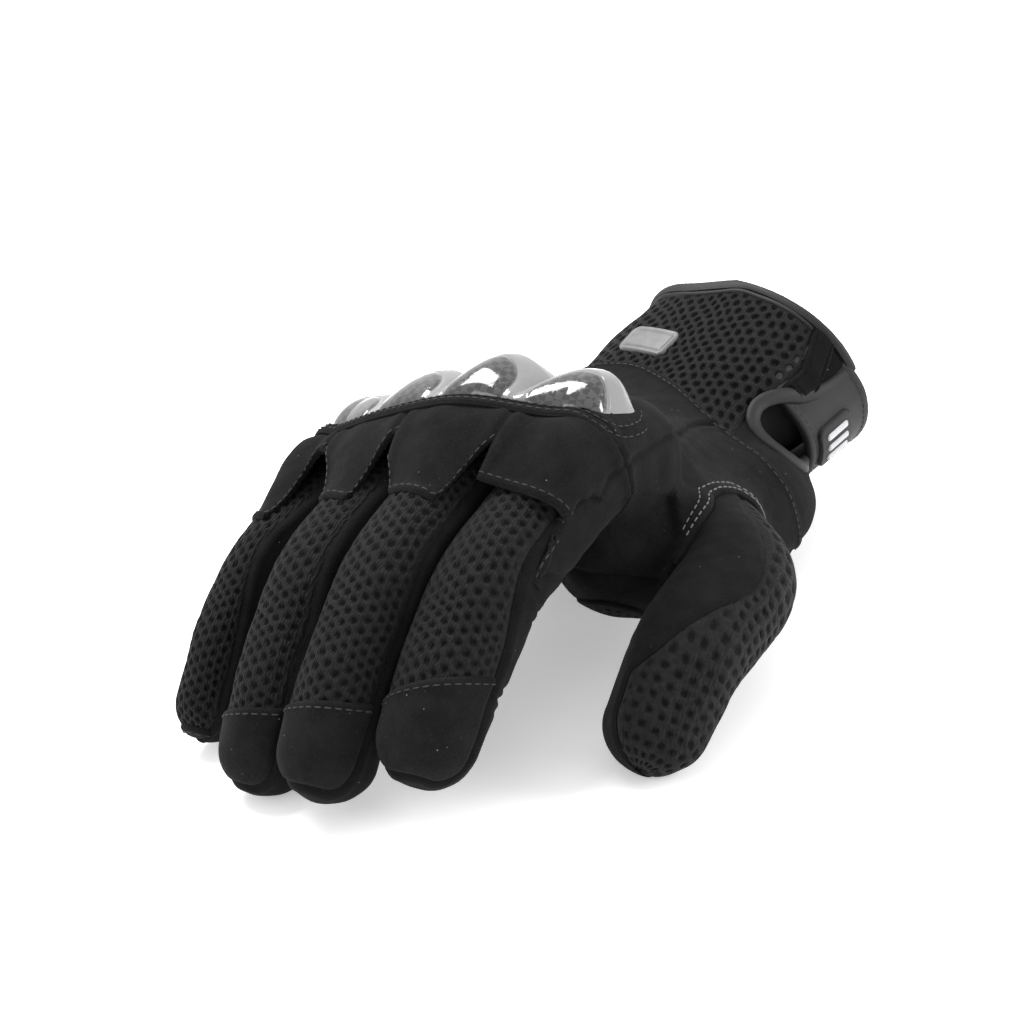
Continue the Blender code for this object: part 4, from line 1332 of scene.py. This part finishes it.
def make_hem(body):
    """The rounded hem band at the cuff's end."""
    hem = body.clip(-body.values["piping"])
    v = hem.values
    end = np.minimum(v["piping"] + HEM_WIDTH, CUFF_END - v["along"])
    across = np.clip(-v["piping"] / np.maximum(end - v["piping"], 1), 0, 1)
    v["lift"] = 0.9 + 0.6 * np.sin(np.pi * across) - 0.9 * ramp(1.2, 0, end)
    v["floor"] = np.full(len(hem.points), 0.6)
    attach(shell("cuff_hem_band", hem, CUFF_WALL + 0.8, BINDING, LINING), "cuff")


def make_threads(hand, upper, net, under):
    """Stitching and cords along the seams of the hand and cuff."""
    rows = contour(upper, "rear", 2.0)[:1]
    wrist_blend(stitches("rear_edge_thread", rows, THREAD, pitch=2.7, radius=0.24, lift=0.02))
    for name in FINGERS:
        rows = contour(upper.clip(name), f"{name}_tab", 1.8)[:2]
        made = stitches(f"{name}_tab_thread", rows, THREAD, pitch=2.6)
        if made:
            rides(made, FINGERS[name], 0)
    arch = hand.clip(30.0 - hand.values["thumb_away"])
    arch = arch.clip(np.minimum(arch.values["thumb_phi"] + 75.0, 120.0 - arch.values["thumb_phi"]))
    rows = [contour(arch, "collar", level)[0] for level in (1.7, 5.2)]
    wrist_blend(stitches("thumb_arc_thread", rows, PALE_THREAD, radius=0.27))
    rows = [line for level in (-0.9, -4.6) for line in contour(under, "left", level)[:1]]
    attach(stitches("flap_strip_thread", rows, THREAD, lift=0.05), "cuff")
    for points, normals in contour(net, "piping", 0.5)[:1]:
        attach(rope("cuff_piping_1", points, normals, 0.9, BINDING), "cuff")


def make_hand_pieces():
    body = make_hand_skin()
    hand, upper = make_suede(body)
    cuff = body.clip(4.0 - body.values["rear"])
    cuff = cuff.clip("piping")
    v = cuff.values
    v["over"] = np.minimum(v["left"], (MESH_SIDE - v["turn"]) * DEGREE)
    net = make_cuff_mesh(cuff)
    under = make_cuff_side(cuff)
    make_hem(body)
    make_threads(hand, upper, net, under)
    return body


def suede_lift(v):
    """The height of the hand's suede: folded edges at the tabs, collar and rear, grooves at the seams."""
    front, loud = v["front"], 1 - v["quiet"]
    lift = v["base"] + HAND_LIFT
    lift = lift + 0.4 * loud * np.exp(-((front - 1.3) / 1.1) ** 2) - 0.5 * loud * (1 - ramp(0.0, 0.8, front))
    lift = lift - 0.3 * v["quiet"] * ramp(10.0, 1.0, front)
    lift = lift + 0.5 * np.exp(-((v["rear"] - 1.3) / 1.2) ** 2) - 0.5 * (1 - ramp(0.0, 0.8, v["rear"]))
    lift = lift + seam_dip(v["side"], 0.75, 0.8) + 0.25 * np.exp(-((v["side"] - 2.2) / 1.1) ** 2)
    lift = lift + seam_dip(v["palm"], 0.6, 0.8) + 0.3 * np.exp(-((v["collar"] - 3.4) / 1.0) ** 2)
    return lift - 0.5 * (1 - ramp(0.0, 0.9, v["collar"])) + 0.3 * np.exp(-((v["collar"] - 1.3) / 1.1) ** 2)


def wrist_blend(made):
    """A piece that crosses the wrist, baked into place; it does not follow the hand or the cuff."""
    if made is None:
        return None
    end = to_world(cuff_skin_point(10.0, 90.0, -20.0)[0]) * MM
    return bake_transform(made)


# --- Knuckle guard --------------------------------------------------------------------------------

FINGERS_AT = {name: to_hand(joint_at(f"{name}_knuckle"))[0] for name in FINGERS}
SHELL_SEAT = LAYER_GAP + 1.64
# Half length, place and reach of the oval at the front of each dome where the shell keeps its dark colour;
# round the ovals it is painted pale as a painted reflection.
DARK_OVAL_HALF, DARK_OVAL_MIDDLE, DARK_OVAL_REACH = 9.6, 0.80, 0.66


def guard_surface(share, depth, dome_share=1.0):
    """A point of the guard: share runs along the knuckles 0..1, depth -1..1 from rear to front."""
    x = GUARD_FROM + (GUARD_TO - GUARD_FROM) * share
    half = GUARD_HALF * (1 - 0.55 * np.abs(2 * share - 1) ** 4)
    f = knuckle_forward(x) - 1 + depth * half
    ridge = np.full(x.shape, GROOVE_HEIGHT)
    for name, height in DOME_HEIGHTS.items():
        offset = np.clip((x - FINGERS_AT[name]) / DOME_HALF, -1, 1)
        lobe = np.cos(offset * np.pi / 2) ** 0.95
        ridge = np.maximum(ridge, GROOVE_HEIGHT + (height - GROOVE_HEIGHT) * lobe)
    end = np.clip(2.2 * np.minimum(share, 1 - share) / 0.12, 0, 1)
    dome = ridge * np.sqrt(np.clip(1 - depth ** 2, 0, 1)) * np.sin(end * np.pi / 2)
    z = guard_base(x, f) + SHELL_SEAT + dome * dome_share - end_droop(x)
    return np.stack([x, -f, z], axis=-1)


def grid_normals(points):
    normals = unit(np.cross(np.gradient(points, axis=0), np.gradient(points, axis=1)))
    return normals if normals[..., 2].mean() > 0 else -normals


def make_guard_shell():
    turn = np.linspace(-1, 1, 90)
    share, depth = np.meshgrid(np.linspace(0, 1, 340), np.sin(turn * np.pi / 2), indexing="ij")
    points = guard_surface(share, depth)
    dark_oval = np.full(share.shape, 1e3)
    for at in FINGERS_AT.values():
        oval = np.hypot((points[..., 0] - at) / DARK_OVAL_HALF, (depth - DARK_OVAL_MIDDLE) / DARK_OVAL_REACH) - 1
        dark_oval = np.minimum(dark_oval, oval)
    groove = -0.35 * np.exp(-((dark_oval * 7) / 0.5) ** 2)
    # The stored hole value marks the dark ovals, outside which the shell's colour is a painted reflection.
    values = {"lift": groove, "hole": ramp(0.03, -0.03, dark_oval), "floor": np.zeros(share.shape)}
    skin = grid_skin(points, grid_normals(points), values)
    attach(shell("knuckle_guard_shell", skin, 1.5, SHELL, SHELL), "hand")


def make_guard_foam():
    share, depth = np.meshgrid(np.linspace(0.04, 0.96, 120), np.linspace(-0.7, 0.7, 30), indexing="ij")
    points = guard_surface(share, depth, 0.0) + (0, 0, 0.4)
    grain = 0.12 * np.sin(points[..., 0] * 2.1) * np.sin(points[..., 1] * 2.3)
    skin = grid_skin(points, grid_normals(points), {"lift": grain})
    made = shell("guard_foam_pad", skin, 1.4, FOAM, FOAM)
    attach(made, "hand")


def make_guard_frame():
    """The raised suede band round the guard, with two rows of stitches."""
    a, grow = np.meshgrid(np.linspace(0, 2 * np.pi, 500), np.linspace(0, 1, 16), indexing="ij")
    c, s = np.cos(a), np.sin(a)
    x = 0.5 + (FRAME_REACH + FRAME_BAND * grow) * np.sign(c) * np.abs(c) ** 0.55
    deep = (GUARD_HALF + 1.6 + FRAME_BAND * grow) * np.sign(s) * np.abs(s) ** 0.75
    f = knuckle_forward(np.clip(x, GUARD_FROM, GUARD_TO)) - 1 + deep
    top = guard_base(x, f) + LAYER_GAP + FRAME_HEIGHT * (1 - 0.6 * grow ** 2) - end_droop(x)
    points = np.stack([x, -f, top], axis=-1)
    normals = grid_normals(points)
    edge = np.minimum(grow, 1 - grow) * FRAME_BAND
    lift = -0.7 * ramp(0.9, 0.0, edge) - 0.25 * np.exp(-((edge - 1.6) / 0.5) ** 2)
    skin = grid_skin(points, normals, {"lift": lift, "floor": np.zeros(x.shape)})
    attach(shell("guard_frame_band", skin, 3.2, SUEDE, LINING), "hand")
    for number, row in ((1, 4), (2, 10)):
        line = (points[:, row], normals[:, row])
        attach(stitches(f"guard_frame_thread_{number}", [line], THREAD, radius=0.24, lift=0.02), "hand")


# --- Cuff parts -------------------------------------------------------------------------------------

STRAP_FROM, STRAP_TO = 30.0, -88.0
STRAP_BAND = (33.5, 59.5)
STRAP_LIFT = 4.0
STRAP_THICK = 1.8


def soft_edge(edge, rim):
    """How far a piece's surface sinks towards its rounded edge."""
    return rim * (1 - np.sqrt(np.clip(1 - (1 - np.clip(edge / rim, 0, 1)) ** 2, 0, 1)))


def strap_lift(angle):
    """The strap's height: it dives under the slot's edge, and lies above the cuff beyond it."""
    return -0.4 + (STRAP_LIFT + 0.4) * ramp(STRAP_FROM - 13.0, STRAP_FROM - 34.0, angle)


def pile_weave(v):
    return 0.10 * np.sin(v["along"] * 5.2) * np.sin(v["angle"] * DEGREE * 5.2)


def strap_fold(v):
    return 0.25 * np.exp(-(v["edge"] - 1.5) ** 2)


def tab_groove(v):
    return -0.4 * np.exp(-((v["edge"] - 1.8) / 0.35) ** 2)


def cuff_piece(name, along, angle, lift, wall, look, body="cuff", rim=1.0, corner=3.0, shape=None):
    """A flat piece with rounded corners and a softened edge, lying on the cuff or on the strap."""
    skin = cuff_grid(along, angle)
    v = skin.values
    half = (abs(along[1] - along[0]) / 2, abs(angle[1] - angle[0]) * DEGREE / 2)
    u = np.abs(v["along"] - np.mean(along)) - half[0] + corner
    w = np.abs(v["angle"] - np.mean(angle)) * DEGREE - half[1] + corner
    v["edge"] = corner - np.hypot(np.maximum(u, 0), np.maximum(w, 0)) - np.minimum(np.maximum(u, w), 0)
    skin = skin.clip("edge")
    v = skin.values
    v["floor"] = np.full(len(skin.points), float(lift))
    if body == "strap":
        v["floor"] = v["floor"] + strap_lift(v["angle"])
    v["lift"] = v["floor"] - soft_edge(v["edge"], rim)
    if shape:
        v["lift"] = v["lift"] + shape(v)
    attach(shell(name, skin, wall, look, look), body)
    return skin


def make_strap():
    skin = cuff_piece("wrist_strap_band", STRAP_BAND, (STRAP_TO, STRAP_FROM), 0.0, STRAP_THICK, BINDING,
                      body="strap", corner=6.0, rim=0.8, shape=strap_fold)
    rows = contour(skin, "edge", 2.4)[:1]
    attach(stitches("wrist_strap_thread", rows, THREAD), "strap")
    cuff_piece("strap_badge_plate", (37, 51), (-24, -2), 1.3, 1.0, BINDING, body="strap",
               corner=2.5, rim=0.7)
    for k, middle in enumerate((-18.5, -13.0, -7.5)):
        cuff_piece(f"strap_badge_bar_{k + 1}", (39.5, 48.5), (middle - 1.6, middle + 1.6), 1.9, 1.0, BADGE,
                   body="strap", corner=0.9, rim=0.4)
    cuff_piece("strap_hook_pad", (30, 47), (-80, -44), -STRAP_THICK - 0.25, 0.7, PILE,
               body="strap", rim=0.3, shape=pile_weave)


def make_cuff_parts():
    cuff_piece("loop_pad", (24, 53), (-84, -42), 1.9, 0.9, PILE, corner=4.0, rim=0.4,
               shape=pile_weave)
    gusset = cuff_grid((4, 56), (-58, 46))
    v = gusset.values
    v["lift"] = -5.0 + 0.5 * np.sin(v["along"] * 0.21 + v["angle"] * 0.05) + ripple(gusset.points)
    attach(shell("cuff_gusset", gusset, 1.0, LINING, LINING), "cuff")
    # The plain grey rubber tab on the cuff's mesh.
    cuff_piece("cuff_rubber_tab", (24, 35), (96, 134), 0.75, 0.9, RUBBER, rim=0.6,
               shape=tab_groove)
    make_binding()


BINDING_R = 2.3
BINDING_END = 57.0


def make_binding():
    """The rolled binding round the cuff's opening."""
    near = BODY.clip(6.0 - BODY.values["opening"])
    near.values["lift"] = np.full(len(near.points), 0.3)
    points, normals = contour(near, "opening", 0.4)[0]
    keep = cuff_place(points)[0] < BINDING_END
    made = rope("slot_binding_roll", points[keep], normals[keep], BINDING_R, BINDING, flat=0.62, sides=16,
                step=0.6)
    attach(made, "cuff")


# --- Palm parts -------------------------------------------------------------------------------------


def palm_piece(name, skin, outline, lift, wall, holed=False):
    """A piece laid on the palm inside a rounded outline, perforated where it is holed."""
    v = skin.values
    v["edge"] = outline_distance(rounded(outline, 3), v["x"], v["f"])
    part = skin.clip("edge")
    v = part.values
    v["floor"] = np.full(len(part.points), lift) + v["base"] * 0.5
    v["lift"] = v["floor"] - soft_edge(v["edge"], 0.8)
    if holed:
        v["hole"] = knit(v["x"], v["f"], 3.0, 0.7) * ramp(1.5, 3.0, v["edge"])
        v["lift"] = v["lift"] - 0.6 * v["hole"]
    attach(shell(name, part, wall, LEATHER, LEATHER), "hand")
    return part


def make_palm_parts():
    v = BODY.values
    low = BODY.clip(np.minimum(v["palm"] + 2.0, 22.0 - v["along"])).refined()
    low.values["x"], low.values["f"] = low.points[:, 0], -low.points[:, 1]
    outline = ((-36, 26), (-38, 60), (-10, 66), (16, 66), (20, 40), (14, 22))
    part = palm_piece("palm_overlay", low, outline, 2.1, 1.1)
    rows = contour(part, "edge", 1.8)[:1]
    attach(stitches("palm_overlay_thread", rows, THREAD, pitch=2.8, radius=0.26), "hand")
    outline = ((24, 44), (24, 62), (36, 68), (42, 58), (40, 46))
    palm_piece("thumb_crotch_overlay", low, outline, 2.0, 1.0, holed=True)
    make_heel_pad(low)


HEEL_ACROSS = (-25.0, 21.0)
HEEL_FORWARD = (2.5, 17.0)


def make_heel_pad(low):
    """A stuffed pad under the heel of the palm, whose underside lies flat on the ground."""
    v = low.values
    (left, right), (rear, front) = HEEL_ACROSS, HEEL_FORWARD
    box = ((left, rear), (right, rear), (right, front), (left, front))
    v["edge"] = outline_distance(rounded(box, 3), v["x"], v["f"])
    part = low.clip("edge")
    v = part.values
    ground = to_world(part.points)[:, 2]
    fall = -(part.normals @ HAND_AXES)[:, 2]
    reach = np.clip(ground / np.maximum(fall, 0.3), 1.0, 14.0)
    swell = np.sqrt(np.clip(1 - (1 - np.clip(v["edge"] / 4.0, 0, 1)) ** 2, 0, 1))
    v["lift"] = 1.0 + (reach - 1.15) * swell
    v["floor"] = np.full(len(part.points), 1.0)
    made = shell("palm_heel_cushion", part, 0.9, LEATHER, LEATHER)
    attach(made, "hand")


# The visual piece that stands for each CAD part.
STANDS_FOR = {
    "back_panel": "back_suede", "palm_panel": "palm_suede", "knuckle_guard": "knuckle_guard_shell",
    "guard_frame": "guard_frame_band", "guard_foam": "guard_foam_pad", "palm_reinforcement": "palm_overlay",
    "thumb_crotch_patch": "thumb_crotch_overlay", "palm_heel_pad": "palm_heel_cushion",
    "cuff_back_panel": "cuff_air_mesh", "cuff_palm_panel": "cuff_side", "cuff_hem": "cuff_hem_band",
    "cuff_lining": "cuff_gusset", "slot_binding": "slot_binding_roll", "loop_patch": "loop_pad",
    "cuff_tab": "cuff_rubber_tab", "wrist_strap": "wrist_strap_band", "strap_badge": "strap_badge_plate",
    "strap_hook_patch": "strap_hook_pad", "thumb_tip_cap": "thumb_air_mesh_3",
}
SECTIONS = {"proximal": 1, "base": 1, "middle": 2, "tip": 3}
PANELS = {"back": "air_mesh", "palm": "wrap", "cap": "cap", "pad": "wrap"}


def stand_for_cad():
    """Hides each CAD part behind the piece that stands for it."""
    for node in frame["nodes"]:
        piece = STANDS_FOR.get(node)
        if piece is None:
            digit, section, panel = node.split("_")
            piece = f"{digit}_{PANELS[panel]}_{SECTIONS[section]}"
        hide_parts(node)


# --- Build ------------------------------------------------------------------------------------------

for finger in FINGERS:
    make_finger_pieces(finger)
make_thumb_pieces()
BODY = make_hand_pieces()
make_guard_shell()
make_guard_foam()
make_guard_frame()
make_strap()
make_cuff_parts()
make_palm_parts()
stand_for_cad()

# --- Camera, floor and light ------------------------------------------------------------------------

# The camera's view, fitted to the photograph: the point it looks at, just ahead of the index knuckle, how
# far off it stands, and in degrees how far it is turned about the upright, raised and rolled.
CAMERA_AIM = Vector((0.0193, -0.0540, 0.0641))
CAMERA_FAR = 0.5
CAMERA_TURN, CAMERA_ABOVE, CAMERA_ROLL = 39.59, 22.68, -7.70
LENS = 70.4


def make_camera():
    data = bpy.data.cameras.new("camera")
    data.lens = LENS
    data.sensor_width = 36.0
    data.clip_start = 0.01
    made = bpy.data.objects.new("camera", data)
    bpy.context.scene.collection.objects.link(made)
    turn = Matrix.Rotation(math.radians(CAMERA_TURN), 4, "Z")
    turn = turn @ Matrix.Rotation(math.radians(90 - CAMERA_ABOVE), 4, "X")
    turn = turn @ Matrix.Rotation(math.radians(CAMERA_ROLL), 4, "Z")
    made.matrix_world = Matrix.Translation(CAMERA_AIM) @ turn @ Matrix.Translation((0, 0, CAMERA_FAR))
    bpy.context.scene.camera = made


def make_floor():
    half = 3.0
    mesh = bpy.data.meshes.new("floor")
    corners = [(-half, -half, 0), (half, -half, 0), (half, half, 0), (-half, half, 0)]
    mesh.from_pydata(corners, [], [(0, 1, 2, 3)])
    floor = bpy.data.objects.new("floor", mesh)
    bpy.context.scene.collection.objects.link(floor)
    look = bpy.data.materials.new("floor_white")
    look.use_nodes = True
    shader = look.node_tree.nodes["Principled BSDF"]
    shader.inputs["Base Color"].default_value = (0.93, 0.93, 0.93, 1)
    shader.inputs["Roughness"].default_value = 0.9
    shader.inputs["Specular IOR Level"].default_value = 0.0
    shader.inputs["Emission Color"].default_value = (1, 1, 1, 1)
    shader.inputs["Emission Strength"].default_value = 0.35
    mesh.materials.append(look)


def area_light(name, at, towards, size, power):
    data = bpy.data.lights.new(name, "AREA")
    data.shape = "RECTANGLE"
    data.size, data.size_y = size
    data.energy = power
    made = bpy.data.objects.new(name, data)
    bpy.context.scene.collection.objects.link(made)
    made.location = at
    made.rotation_euler = (Vector(towards) - Vector(at)).to_track_quat("-Z", "Y").to_euler()


def make_light():
    world = bpy.data.worlds.new("studio")
    bpy.context.scene.world = world
    world.use_nodes = True
    world.node_tree.nodes["Background"].inputs["Color"].default_value = (1, 1, 1, 1)
    world.node_tree.nodes["Background"].inputs["Strength"].default_value = 1.0
    area_light("key", (-0.35, 0.05, 0.75), (0, 0, 0.05), (0.5, 0.5), 9.0)
    area_light("rim", (0.75, 0.35, 0.35), (0.03, 0.02, 0.05), (0.3, 0.5), 5.0)
    area_light("front", (-0.2, -0.8, 0.45), (0, -0.05, 0.03), (0.5, 0.4), 1.2)


make_camera()
make_floor()
make_light()
bpy.context.scene.view_settings.view_transform = "Standard"
